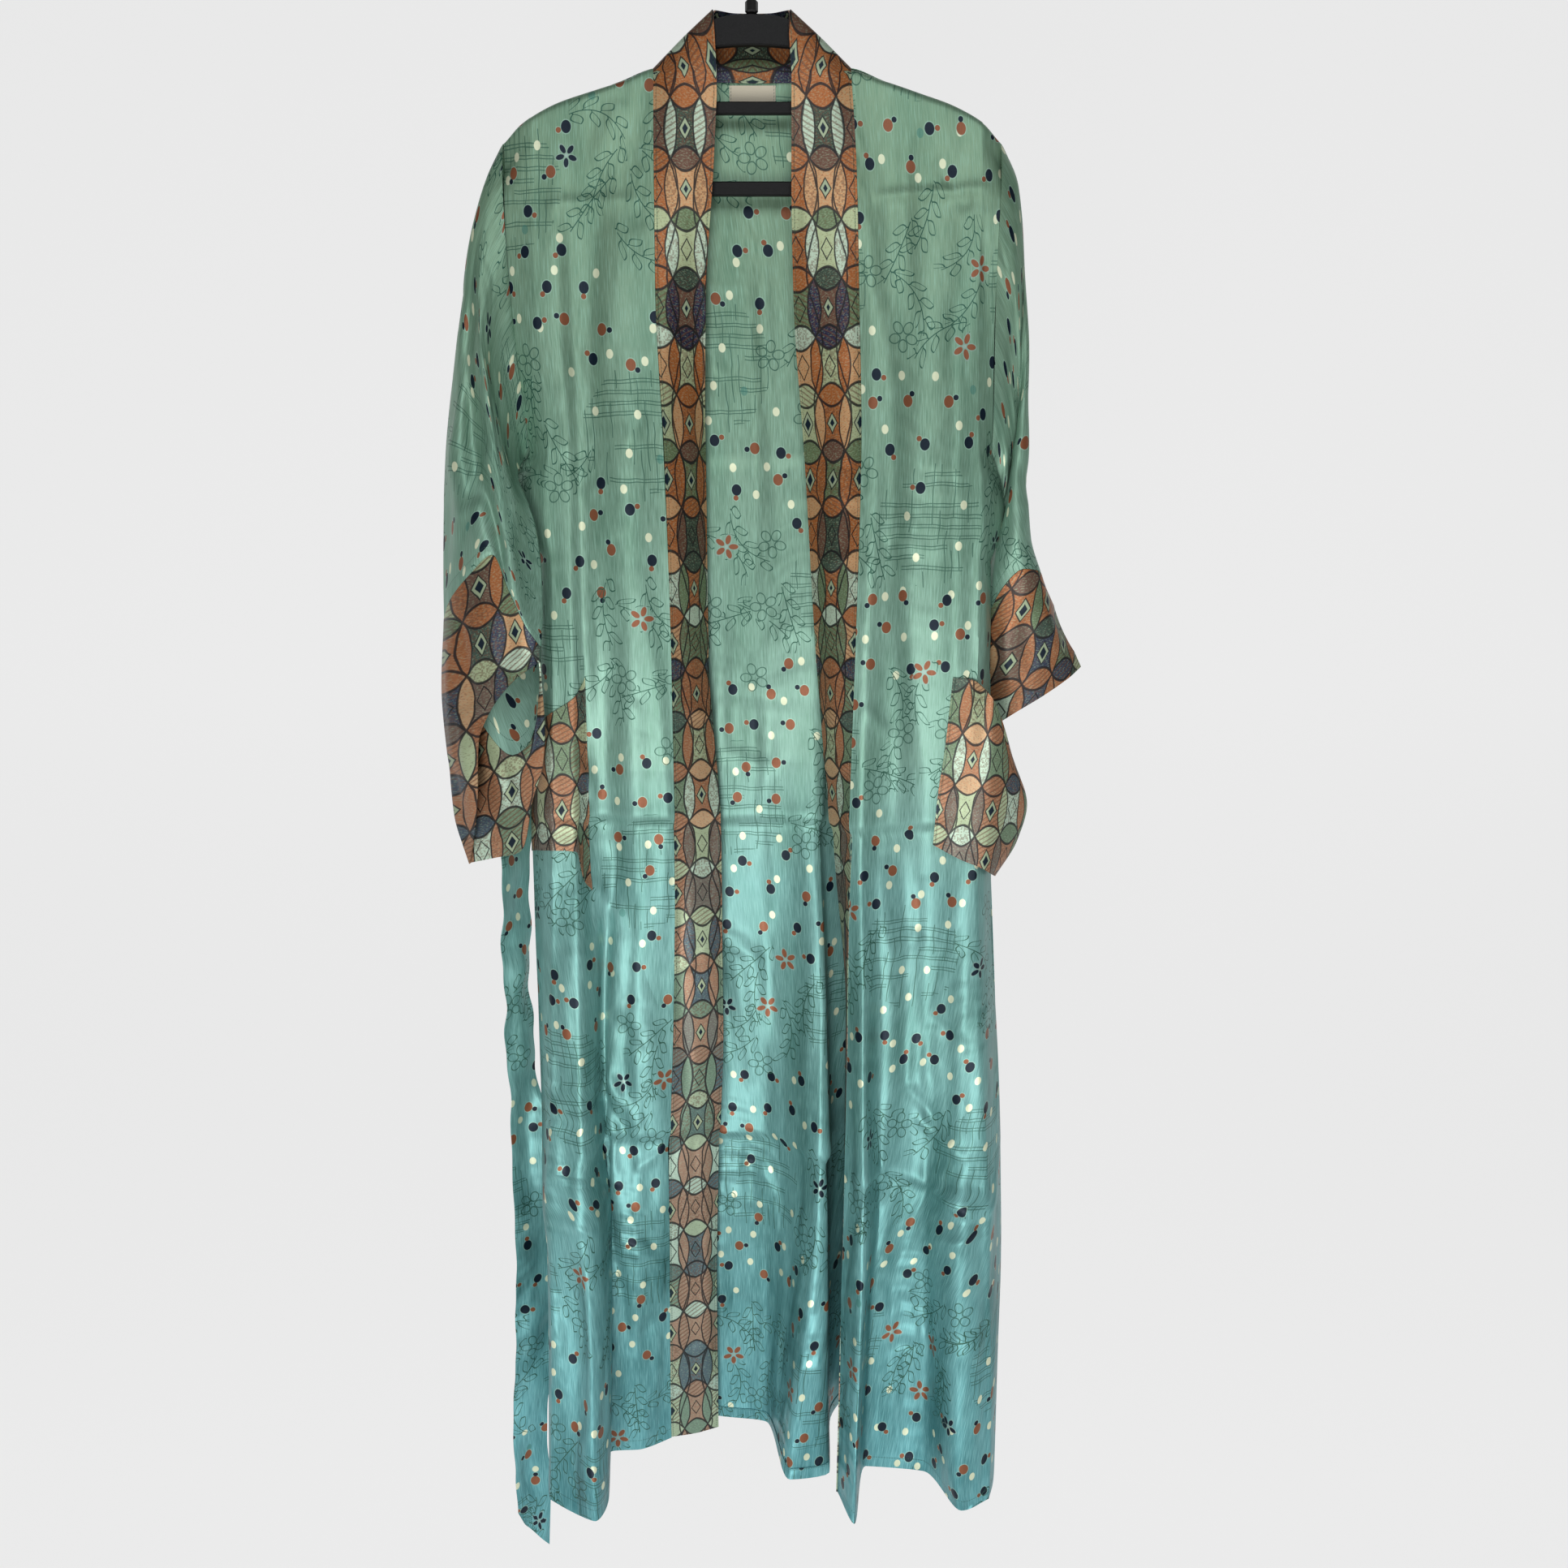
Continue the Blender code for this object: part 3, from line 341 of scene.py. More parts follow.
FRONT_LEFT = (
    (-120, (79, -6), (92, -6), (108, -6), (140, -6), (165, -6), (186, -6)),
    (-200, (85, -11), (96, -10), (112, -9), (142, -9), (166, -10), (187, -11)),
    (-300, (88, -21), (99, -24), (114, -22), (144, -20), (168, -24), (186, -26)),
    (-430, (91, -29), (102, -31), (116, -28), (146, -24), (172, -29), (190, -29)),
    (-600, (88, -30), (98, -33), (114, -28), (148, -24), (176, -30), (194, -32)),
    (-770, (85, -27), (96, -32), (113, -25), (150, -22), (180, -30), (198, -33)),
    (-950, (85, -36), (98, -52), (117, -32), (154, -28), (186, -40), (205, -42)),
    (-1100, (83, -52), (99, -77), (117, -38), (158, -37), (192, -62), (214, -62)),
    (-1250, (80, -68), (96, -101), (111, -44), (160, -46), (194, -84), (219, -78)),
    (-1400, (77, -84), (92, -122), (107, -52), (164, -58), (194, -106), (222, -92)),
)

# Back sections: height, then x and y of the right outer fold, right valley, right inner fold, centre, ridge
# foot, ridge, ridge plateau, ridge return, left inner fold, left valley and left outer fold
BACK = (
    (-120, (-182, 6), (-160, 6), (-105, 6), (-46, 17), (-12, 18), (22, 18), (46, 16), (72, 8), (105, 6),
     (150, 6), (182, 6)),
    (-200, (-182, 11), (-158, 10), (-105, 12), (-46, 16), (-10, 17), (30, 17), (52, 16), (76, 14),
     (108, 12), (152, 11), (184, 11)),
    (-300, (-180, 24), (-156, 20), (-108, 22), (-46, 20), (-6, 19), (40, 17), (60, 18), (82, 20), (110, 22),
     (154, 19), (184, 25)),
    (-430, (-174, 27), (-150, 18), (-106, 26), (-46, 21), (-2, 20), (46, 17), (64, 19), (84, 22), (112, 26),
     (154, 17), (188, 27)),
    (-600, (-174, 24), (-150, 13), (-104, 24), (-46, 17), (0, 16), (52, 11), (64, 13), (78, 18), (112, 24),
     (156, 11), (190, 22)),
    (-770, (-180, 25), (-154, 8), (-106, 25), (-46, 13), (2, 13), (54, 3), (60, 4), (66, 14), (112, 25),
     (158, 7), (192, 22)),
    (-950, (-182, 31), (-156, 4), (-108, 30), (-48, 14), (4, 11), (61, -20), (66, -18), (69, 10), (112, 30),
     (162, 2), (198, 28)),
    (-1100, (-182, 37), (-158, 0), (-110, 37), (-48, 16), (6, 11), (59, -42), (68, -38), (71, 8), (112, 37),
     (166, -4), (206, 36)),
    (-1250, (-182, 44), (-160, -6), (-112, 45), (-48, 17), (7, 11), (47, -56), (68, -50), (71, 8),
     (112, 46), (168, -8), (210, 44)),
    (-1400, (-186, 52), (-164, -14), (-114, 54), (-48, 18), (8, 9), (32, -68), (70, -60), (73, 8),
     (112, 56), (170, -10), (212, 52)),
)

# Front bands: height, then x and y of the free edge and of the band's middle
BAND_RIGHT = (
    (-150, (-28, -12), (-54, -12)), (-200, (-31, -13), (-56, -13)), (-300, (-39, -8), (-62, -16)),
    (-430, (-42, 3), (-56, -16)), (-600, (-42, 2), (-56, -17)), (-770, (-32, -6), (-53, -15)),
    (-950, (-32, -4), (-55, -14)), (-1100, (-38, -3), (-61, -14)), (-1250, (-42, 0), (-65, -11)),
    (-1400, (-42, 1), (-66, -8)),
)
BAND_LEFT = (
    (-150, (32, -12), (58, -12)), (-200, (32, -13), (59, -13)), (-300, (34, -8), (62, -16)),
    (-430, (44, 2), (70, -19)), (-600, (55, 4), (70, -18)), (-770, (70, -1), (78, -13)),
    (-950, (86, 9), (85, -13)), (-1100, (86, -2), (85, -28)), (-1250, (88, -17), (85, -43)),
    (-1400, (90, -32), (84, -58)),
)

# The band's free edge round the back neck, from the centre back to the shoulder, and then over the hanger's
# arch
NECK_FREE = ((0, 25, -77.5), (14, 24, -77.5), (24, 18, -78.2), (29.5, 9, -81), (30.5, 4.5, -84))
NECK_OVER = ((31, 0, -84), (30.5, -5.5, -86.5), (29.5, -8.5, -98))

# Right sleeve, by named lines: x, y and z along each, from the shoulder tip or the underarm down
SLEEVE_RIGHT = {
    "outer": ((-204, 0, -183), (-218, -4, -212), (-234, -8, -277), (-248, -9, -341), (-262, -11, -428),
              (-269, -13, -517), (-271, -14, -567)),
    "inner": ((-188, 0, -430), (-197, -9, -433), (-199, -24, -443), (-192, -39, -460), (-182, -46, -486),
              (-177, -53, -527), (-176, -62, -562), (-177, -69, -586)),
    "near_seam": ((-271, -14, -567), (-262, -30, -553), (-236, -56, -528), (-213, -69, -511),
                  (-200, -71, -540), (-187, -72, -570), (-177, -69, -586)),
    "far_seam": ((-271, -14, -567), (-264, -22, -618), (-240, -34, -656), (-212, -41, -684),
                 (-194, -47, -670), (-182, -57, -626), (-177, -69, -586)),
}
CUFF_RIGHT = {
    "near_hem": ((-258, -26, -786), (-249, -38, -756), (-242, -47, -722), (-236, -56, -668),
                 (-222, -63, -640), (-199, -71, -614), (-178, -73, -599)),
    "far_hem": ((-258, -26, -786), (-236, -28, -781), (-211, -33, -774), (-196, -40, -724), (-184, -47, -690),
                (-179, -58, -652), (-178, -73, -599)),
    "outer": ((-271, -14, -567), (-276, -17, -637), (-273, -19, -696), (-270, -22, -741), (-258, -26, -786)),
}

# The right sleeve's step fold: its edge's start, run and curve as parts of the sleeve's width, then each
# wave's place (from that edge, or from the outer side for the ridge), its half width and its height in
# millimetres
STEP_EDGE = (0.12, 0.42, 1.4)
STEP_STRIP = (-0.10, 0.16, 10)
STEP_VALLEY = (0.10, 0.09, -12)
STEP_RIDGE = (0.80, 0.16, 13)
STEP_START = 1.15
STEP_END = 4.0

# The lengthwise ripples of the left sleeve's far layer: how many half waves, and their height in millimetres
RIPPLES = 3
RIPPLE_HEIGHT = -5

# Left sleeve, the same way. It hangs behind the robe's side, so its underarm line swings back
SLEEVE_LEFT = {
    "outer": ((204, 0, -183), (218, 3, -212), (223, 5, -277), (230, 7, -341), (235, 9, -455), (246, 12, -505),
              (258, 16, -538)),
    "inner": ((205, 0, -430), (214, 16, -468), (200, 36, -520), (168, 48, -590), (138, 54, -655)),
    "near_seam": ((258, 16, -538), (248, -6, -526), (234, -14, -524), (218, -6, -540), (200, 24, -590),
                  (138, 54, -655)),
    "far_seam": ((258, 16, -538), (254, 38, -548), (240, 56, -572), (205, 68, -608), (170, 66, -636),
                 (138, 54, -655)),
}
CUFF_LEFT = {
    "near_hem": ((298, 28, -614), (283, 16, -624), (262, 12, -638), (238, 19, -655), (196, 38, -688),
                 (126, 62, -737)),
    "far_hem": ((298, 28, -614), (292, 48, -622), (270, 66, -644), (226, 80, -674), (176, 78, -708),
                (126, 62, -737)),
    "outer": ((258, 16, -538), (278, 22, -576), (298, 28, -614)),
}

# Left pocket: height at its inner edge, then x and y of the inner edge, middle, fold, lip and outer edge.
# The last two tables are how far each of them rises above that height at the mouth and at the foot
POCKET_LEFT = (
    (-617, (173, -31.4), (188, -34), (206, -42), (228, -22), (214, 3)),
    (-690, (168, -30.4), (188, -34), (208, -38), (245, -17), (217, 4)),
    (-740, (163, -29.4), (186, -34), (208, -37), (238, -15), (219, 4)),
    (-792, (160, -28.4), (184, -35), (204, -37), (219, -17), (221, 3)),
)
POCKET_LEFT_MOUTH = (0, -1, -16, -72, -76)
POCKET_LEFT_FOOT = (24, 12, 4, -8, 6)

# Right pocket, which lies on the front panel: part of the way from its inner to its outer edge, mouth and
# foot heights
POCKET_RIGHT = ((0.00, -617, -812), (0.12, -626, -803), (0.22, -633, -774), (0.55, -647, -772),
                (1.00, -668, -780))
POCKET_RIGHT_COLUMNS = (1, 8)

# Belt, from the right tail's foot, up, across the back and down to the left tail's foot: x, y and z of its
# middle, then its width's tilt above the level and turn in plan, in degrees
BELT = (
    (-239, 6, -1500, 0, 36), (-239.5, 6, -1466, 0, 38), (-238, 3, -1407, 0, 26), (-232, 3, -1340, 0, 28),
    (-227, 4, -1246, 0, 30), (-225, 5, -1150, 0, 32), (-225, 5, -1067, 0, 34), (-228, 8, -1000, 0, 58),
    (-227, 8, -900, 0, 62), (-226, 8, -810, 0, 56), (-224, 10, -765, 0, 48), (-221, 15, -722, 5, 35),
    (-216, 20, -692, 25, 15), (-206, 24, -673, 55, 4), (-192, 26, -663, 80, 0), (-176, 26.2, -660, 90, 0),
    (-105, 26.4, -664, 90, 0), (0, 26.2, -668, 90, 0), (112, 26.4, -664, 90, 0), (178, 25, -660, 90, 0),
    (190, 25, -663, 75, 0), (197, 25.5, -677, 40, 0), (199, 26.5, -702, 6, 0), (198, 28, -760, 0, 0),
    (199, 31, -850, 0, 4), (200, 35, -950, 0, -5), (204, 42, -1080, 0, 4), (206, 48, -1180, 0, -4),
    (207, 51, -1215, 0, 0),
)
BELT_TIP_RIGHT = ((-250, -4, -1512), (-226, 12, -1556))
BELT_TIP_LEFT = ((225, 52, -1228), (189, 52, -1256))

# Belt loops on the back panel: x of each, its ends' heights and the heights between which it clears the belt
LOOP_PLACES = {"right": -0.1763, "left": 0.1755}
LOOP_ENDS = (-0.6335, -0.6925)
LOOP_SHOULDERS = (-0.6400, -0.6860)

# Neck label, inside the back just under the neck seam
LABEL_WIDTH = 0.038
LABEL_TOP = -0.1335
LABEL_FOOT = -0.1515

# Creases, in millimetres: where each starts and ends, as x and z, then its half width and its height. A
# height above nothing stands out towards the front, and one below it is a trough
CREASES_FRONT_RIGHT = (
    (-168, -232, -92, -228, 6, 1.0), (-118, -250, -112, -480, 7, 0.9), (-98, -520, -92, -900, 8, 1.1),
    (-118, -560, -120, -860, 10, -1.4), (-132, -380, -139, -690, 8, 1.2), (-96, -960, -104, -1340, 9, 1.3),
    (-108, -800, -110, -1180, 7, -1.5), (-126, -1010, -131, -1370, 9, 1.7), (-88, -1180, -91, -1395, 7, -1.2),
    (-168, -840, -172, -1010, 8, 1.5), (-150, -800, -128, -850, 7, 1.2), (-136, -930, -104, -975, 8, -1.4),
    (-146, -985, -112, -1046, 6, 2.0), (-152, -1006, -121, -1060, 5, -1.6), (-118, -1090, -88, -1068, 6, 1.3),
    (-124, -1290, -94, -1240, 7, -1.2), (-105, -152, -128, -205, 9, 0.9), (-150, -330, -138, -390, 8, -0.9),
    (-141, -455, -118, -500, 8, 0.9), (-100, -640, -128, -610, 7, -0.8), (-90, -396, -108, -424, 7, 0.8),
    (-164, -1120, -168, -1330, 8, -1.6), (-180, -1000, -186, -1280, 9, 1.6), (-156, -690, -146, -730, 6, 1.2),
    (-128, -770, -129, -1270, 6, -3.6), (-150, -800, -152, -1390, 17, 3.2),
    (-100, -1070, -100, -1390, 12, 1.8), (-206, -1120, -126, -1100, 46, 3.0),
    (-176, -1120, -182, -1396, 20, -3.2),
)
CREASES_FRONT_LEFT = (
    (98, -226, 196, -219, 5, 1.2), (126, -168, 132, -330, 8, 0.9), (104, -300, 110, -600, 8, 1.1),
    (140, -360, 146, -700, 10, -1.5), (166, -300, 176, -640, 9, 1.3), (122, -560, 127, -760, 7, 1.2),
    (150, -800, 162, -1060, 9, 1.6), (132, -780, 138, -1000, 8, -1.4), (178, -840, 186, -1080, 9, -1.4),
    (124, -1100, 132, -1380, 9, 1.5), (150, -1130, 158, -1396, 10, -1.8), (180, -1130, 190, -1390, 9, 1.7),
    (206, -1100, 214, -1370, 8, -1.3), (110, -500, 134, -478, 7, 1.0), (150, -420, 178, -452, 8, 1.0),
    (120, -880, 152, -852, 7, 1.2), (160, -930, 196, -960, 7, -1.2), (150, -1030, 196, -1064, 6, 1.8),
    (140, -1000, 176, -1050, 6, -1.4), (168, -1150, 206, -1126, 6, 1.4), (186, -240, 190, -420, 8, -1.0),
    (196, -470, 200, -600, 7, 1.2), (110, -1180, 142, -1230, 8, -1.2), (176, -1270, 208, -1230, 8, 1.1),
    (96, -640, 118, -668, 6, 0.9), (150, -196, 176, -236, 7, -0.8), (190, -1090, 198, -1396, 22, 4.6),
    (146, -1100, 150, -1390, 18, -3.4), (112, -780, 114, -1120, 9, 2.2), (192, -770, 202, -1080, 18, 2.8),
    (92, -1116, 226, -1140, 52, 3.6),
)
CREASES_BACK = (
    (-170, -424, 180, -430, 9, 0.5),
    (-34, -180, -28, -420, 8, 1.0), (-12, -260, -4, -560, 9, -1.3), (14, -200, 22, -500, 8, 1.0),
    (-30, -560, -36, -740, 8, 1.3), (-8, -600, -2, -1020, 9, 1.4), (14, -640, 20, -980, 8, -1.4),
    (34, -700, 42, -1040, 8, 1.2), (-26, -800, -30, -1046, 8, -1.2), (-38, -1100, -34, -1380, 8, 1.6),
    (-14, -1060, -8, -1390, 9, -1.6), (6, -1090, 12, -1398, 8, 1.4), (22, -1100, 24, -1370, 7, -1.3),
    (-40, -860, 10, -900, 8, 1.0), (-6, -1160, 24, -1120, 7, 1.4), (-30, -1250, 6, -1290, 8, -1.2),
    (-140, -180, -128, -620, 10, 1.4), (-112, -240, -120, -700, 9, -1.4), (-86, -200, -80, -560, 9, 1.2),
    (92, -190, 98, -600, 9, 1.3), (128, -230, 134, -720, 10, -1.6), (158, -260, 166, -640, 9, 1.3),
    (-150, -790, -146, -1340, 10, 1.8), (-118, -800, -122, -1380, 10, -1.7), (-84, -760, -78, -1300, 9, 1.5),
    (92, -800, 98, -1350, 10, -1.6), (130, -780, 138, -1390, 10, 1.8), (168, -800, 178, -1360, 9, -1.6),
    (-100, -660, -60, -700, 7, 1.2), (60, -668, 110, -640, 8, 1.2), (-60, -330, -20, -360, 8, 0.8),
    (100, -900, 150, -940, 8, 1.3), (-140, -930, -90, -900, 8, -1.3), (-90, -1190, -130, -1240, 9, 1.3),
    (120, -1200, 170, -1180, 8, -1.2), (-30, -690, 20, -706, 7, 1.0),
)
CREASES_SLEEVE_RIGHT = (
    (-212, -216, -240, -300, 7, -1.4), (-222, -300, -250, -420, 6, 1.6), (-236, -330, -258, -470, 7, -1.6),
    (-206, -240, -222, -400, 8, 1.3), (-196, -300, -204, -420, 7, -1.2), (-232, -430, -246, -540, 8, 1.6),
    (-214, -420, -222, -520, 7, -1.5), (-200, -450, -206, -520, 6, 1.4), (-252, -440, -262, -540, 6, 1.3),
    (-190, -470, -184, -560, 6, 1.5), (-238, -380, -214, -430, 7, 1.2), (-246, -480, -222, -470, 6, -1.1),
    (-210, -350, -200, -372, 6, 1.0),
)
CREASES_SLEEVE_LEFT = (
    (208, -220, 216, -330, 6, -1.4), (216, -300, 224, -420, 6, 1.5), (224, -380, 236, -500, 7, -1.5),
    (212, -400, 222, -520, 6, 1.4), (238, -450, 248, -530, 6, 1.3), (226, -480, 214, -540, 6, -1.3),
    (200, -500, 170, -590, 8, 1.6), (222, -430, 240, -466, 6, 1.0),
)
CREASES_CUFF_RIGHT = (
    (-262, -580, -266, -700, 6, 1.2), (-248, -560, -236, -640, 6, -1.3), (-226, -550, -214, -620, 6, 1.3),
    (-206, -560, -196, -596, 5, -1.1), (-256, -640, -244, -750, 6, 1.3), (-240, -640, -226, -660, 5, -1.0),
    (-222, -690, -208, -740, 6, 1.2), (-270, -690, -258, -770, 5, -1.2),
)
CREASES_CUFF_LEFT = (
    (252, -552, 270, -600, 5, 1.2), (238, -560, 252, -620, 6, -1.2), (266, -560, 288, -600, 5, -1.0),
    (222, -570, 236, -640, 6, 1.1), (180, -620, 196, -670, 7, -1.2),
)
CREASES_BAND_RIGHT = (
    (-50, -180, -46, -420, 6, -0.7), (-66, -260, -60, -560, 6, 0.8), (-40, -620, -44, -900, 6, 0.7),
    (-62, -780, -66, -1020, 6, -0.8), (-52, -1080, -54, -1380, 6, 0.8), (-74, -330, -50, -350, 5, 0.9),
    (-70, -500, -46, -486, 5, -0.9), (-70, -640, -36, -660, 5, 0.9), (-76, -890, -40, -880, 5, 0.8),
    (-82, -1180, -44, -1196, 5, 0.9), (-84, -1300, -46, -1290, 5, -0.8),
)
CREASES_BAND_LEFT = (
    (40, -340, 86, -362, 5, 1.0), (50, -430, 88, -444, 5, -1.2), (52, -456, 88, -470, 4, 1.3),
    (56, -520, 86, -512, 5, 0.9), (60, -590, 86, -604, 5, -1.0), (62, -690, 84, -700, 5, 0.9),
    (50, -180, 56, -400, 6, 0.7), (74, -240, 72, -560, 6, -0.7), (84, -740, 92, -742, 4, 1.4),
)

# Lines the cloth was stored folded on: where each starts and ends, as x and z, then its bow and its height
STORED_FOLDS = {
    -1: ((-200, -744, -28, -748, 0, 2.5), (-162, -1056, -34, -1060, 0, 3.0)),
    0: ((-190, -748, 196, -761, -3, 2.2), (-186, -1058, 200, -1094, -9, 2.8)),
    1: ((36, -760, 206, -748, 1, 2.2), (84, -1084, 232, -1114, 6, 3.0)),
}


def slopes(places, values):
    """Slopes of a monotone cubic, so that no fold swings past its table."""
    steps = np.diff(places).reshape((-1,) + (1,) * (values.ndim - 1))
    rises = np.diff(values, axis=0) / steps
    found = np.zeros_like(values)
    found[0] = rises[0]
    found[-1] = rises[-1]
    before, after = rises[:-1], rises[1:]
    wide, wider = 2 * steps[1:] + steps[:-1], steps[1:] + 2 * steps[:-1]
    same = before * after > 0
    safe_before = np.where(same, before, 1)
    safe_after = np.where(same, after, 1)
    found[1:-1] = np.where(same, (wide + wider) / (wide / safe_before + wider / safe_after), 0)
    return found


def smooth(places, values, at):
    """The smooth curve through the rows of values, read at each place in at."""
    places = np.asarray(places, float)
    values = np.asarray(values, float)
    at = np.clip(np.atleast_1d(np.asarray(at, float)), places[0], places[-1])
    if len(places) == 2:
        part = ((at - places[0]) / (places[1] - places[0])).reshape((-1,) + (1,) * (values.ndim - 1))
        return values[0] * (1 - part) + values[1] * part
    slope = slopes(places, values)
    k = np.clip(np.searchsorted(places, at, side="right") - 1, 0, len(places) - 2)
    shape = (-1,) + (1,) * (values.ndim - 1)
    step = (places[k + 1] - places[k]).reshape(shape)
    s = (at - places[k]).reshape(shape) / step
    start = values[k] * (1 + 2 * s) * (1 - s) ** 2 + slope[k] * step * s * (1 - s) ** 2
    return start + values[k + 1] * s * s * (3 - 2 * s) + slope[k + 1] * step * s * s * (s - 1)


def reaches(points):
    """How far along its line each point lies."""
    return np.concatenate([[0], np.cumsum(np.linalg.norm(np.diff(points, axis=0), axis=1))])


def along(points, count):
    """Points of a smooth line through the given ones, evenly spaced by length."""
    points = np.asarray(points, float)
    reach = reaches(points)
    return smooth(reach, points, np.linspace(0, reach[-1], count))


def spread(stations, cells):
    """Station numbers, with the given count of cells between each two."""
    places = [float(stations[0])]
    for k, count in enumerate(cells):
        places += list(np.linspace(stations[k], stations[k + 1], count + 1)[1:])
    return np.array(places)


def from_centre(rows, x):
    """A table's value at each distance from the centre."""
    table = np.array(rows, float)
    return smooth(table[:, 0], table[:, 1:], np.abs(np.atleast_1d(x)) / MM)[:, 0] * MM


def shoulder_height(x):
    return from_centre(SHOULDER, x)


def neck_depth(x):
    return from_centre(BACK_NECK, x)


def side_x(side, z):
    table = np.array(SIDE_LINE, float)[::-1]
    return smooth(table[:, 0], table[:, 1:], np.atleast_1d(z) / MM)[:, 0 if side < 0 else 1] * MM


def armhole(z):
    """Half the armhole's opening at a height: a lens from the shoulder tip to the underarm."""
    part = np.clip((TIP_Z - np.atleast_1d(z)) / (TIP_Z - UNDERARM_Z), 0, 1)
    return ARMHOLE_DEPTH * np.sqrt(np.clip(np.sin(np.pi * part), 0, 1)) + FLAT_SEAM / 2


def columns_of(table, places):
    """For each place across the stations, its x and y at the table's heights, as arrays over height."""
    rows = np.array([row[1:] for row in table], float)
    stations = np.arange(rows.shape[1])
    return smooth(stations, rows.transpose(1, 0, 2), places)


def read_column(table, column, z):
    """A column's x and y at the given heights, from the table's own heights."""
    heights = np.array([row[0] for row in table], float)[::-1]
    return smooth(heights, column[::-1], z / MM) * MM


def column_at(column, z):
    """A column's points at the given heights."""
    return np.stack([np.interp(-z, -column[:, 2], column[:, axis]) for axis in range(3)], axis=1)


def on_panel(grid, x, z):
    """How far back a panel's middle surface lies at a place that faces straight ahead."""
    xs = [np.interp(-z, -column[:, 2], column[:, 0]) for column in grid]
    ys = [np.interp(-z, -column[:, 2], column[:, 1]) for column in grid]
    return float(np.interp(x, xs, ys))


def normals(grid, ring):
    """A unit normal at each point of a grid, from its neighbours. A ring's first and last columns are
    neighbours."""
    if ring:
        across = np.roll(grid, -1, axis=0) - np.roll(grid, 1, axis=0)
    else:
        across = np.gradient(grid, axis=0)
    down = np.gradient(grid, axis=1)
    found = np.cross(across, down)
    return found / np.maximum(np.linalg.norm(found, axis=2, keepdims=True), TINY)


def coons(top, foot, first, last):
    """A smooth patch between four lines: top and foot run across, first and last run down."""
    across, down = len(top), len(first)
    u = np.linspace(0, 1, across)[:, None, None]
    v = np.linspace(0, 1, down)[None, :, None]
    ruled = (1 - v) * top[:, None, :] + v * foot[:, None, :]
    ruled = ruled + (1 - u) * first[None, :, :] + u * last[None, :, :]
    corners = (1 - u) * (1 - v) * top[0] + u * (1 - v) * top[-1] + (1 - u) * v * foot[0] + u * v * foot[-1]
    return ruled - corners


def armhole_line(side, face, count):
    """The sleeve's edge beside the armhole seam, from the shoulder tip to the underarm."""
    part = (1 - np.cos(np.linspace(0.0, 1.0, count) * math.pi)) / 2
    z = TIP_Z + (UNDERARM_Z - TIP_Z) * part
    x = side_x(side, z) + side * SLEEVE_PITCH
    y = face * np.maximum(armhole(z), EDGE_FOLD)
    return np.stack([x, y, z], axis=1)


def sleeve_ring(side, lines, across, down):
    """A sleeve as a ring: its near layer from the outer fold to the inner one, and its far layer back."""
    scaled = {name: np.array(line, float) * MM for name, line in lines.items()}
    layers = []
    for face, seam in ((-1, "near_seam"), (1, "far_seam")):
        top = armhole_line(side, face, across)
        foot = along(scaled[seam], across)
        outer, inner = along(scaled["outer"], down), along(scaled["inner"], down)
        outer[:, 1] += face * EDGE_FOLD
        inner[:, 1] += face * EDGE_FOLD
        foot[:, 1] += face * EDGE_FOLD
        outer[0], inner[0] = top[0], top[-1]
        outer[-1], inner[-1] = foot[0], foot[-1]
        layers.append(coons(top, foot, outer, inner))
    near, far = layers
    bow = np.outer(np.sin(np.linspace(0, math.pi, across)), np.sin(np.linspace(0, math.pi, down)))
    bow *= side * SLEEVE_BOW[side]
    near[:, :, 0] += bow
    far[:, :, 0] += bow
    if side < 0:
        near = step_fold(near)
    else:
        far = ripple(far, RIPPLE_HEIGHT * MM)
    return np.concatenate([near, far[::-1]])


def step_fold(near):
    """The right sleeve's long step: its outer strip stands in front, with a valley and a soft ridge beside
    it."""
    across, down = near.shape[:2]
    u = np.linspace(0, 1, across)[:, None]
    v = np.linspace(0, 1, down)[None, :]
    start, run, curve = STEP_EDGE
    edge = start + run * v ** curve
    lift = np.zeros(near.shape[:2])
    for (place, width, height), middle, grow in ((STEP_STRIP, edge, v), (STEP_VALLEY, edge, 1),
                                                 (STEP_RIDGE, 0, 1)):
        lift += height * MM * grow * np.exp(-(((u - middle - place) / width) ** 2))
    fade = np.sin(np.clip(v * STEP_START, 0, 1) * math.pi / 2) * np.clip((1 - v) * STEP_END, 0, 1) ** 0.5
    rim = np.sin(np.clip(u, 0, 1) * math.pi) ** 0.5
    near = near.copy()
    near[:, :, 1] -= lift * fade * rim
    return near


def ripple(layer, height):
    """Soft lengthwise folds along a sleeve layer, gone at its edges."""
    across, down = layer.shape[:2]
    u = np.linspace(0, 1, across)[:, None]
    v = np.linspace(0, 1, down)[None, :]
    layer = layer.copy()
    layer[:, :, 1] -= height * np.sin(u * math.pi * RIPPLES) * np.sin(v * math.pi)
    return layer


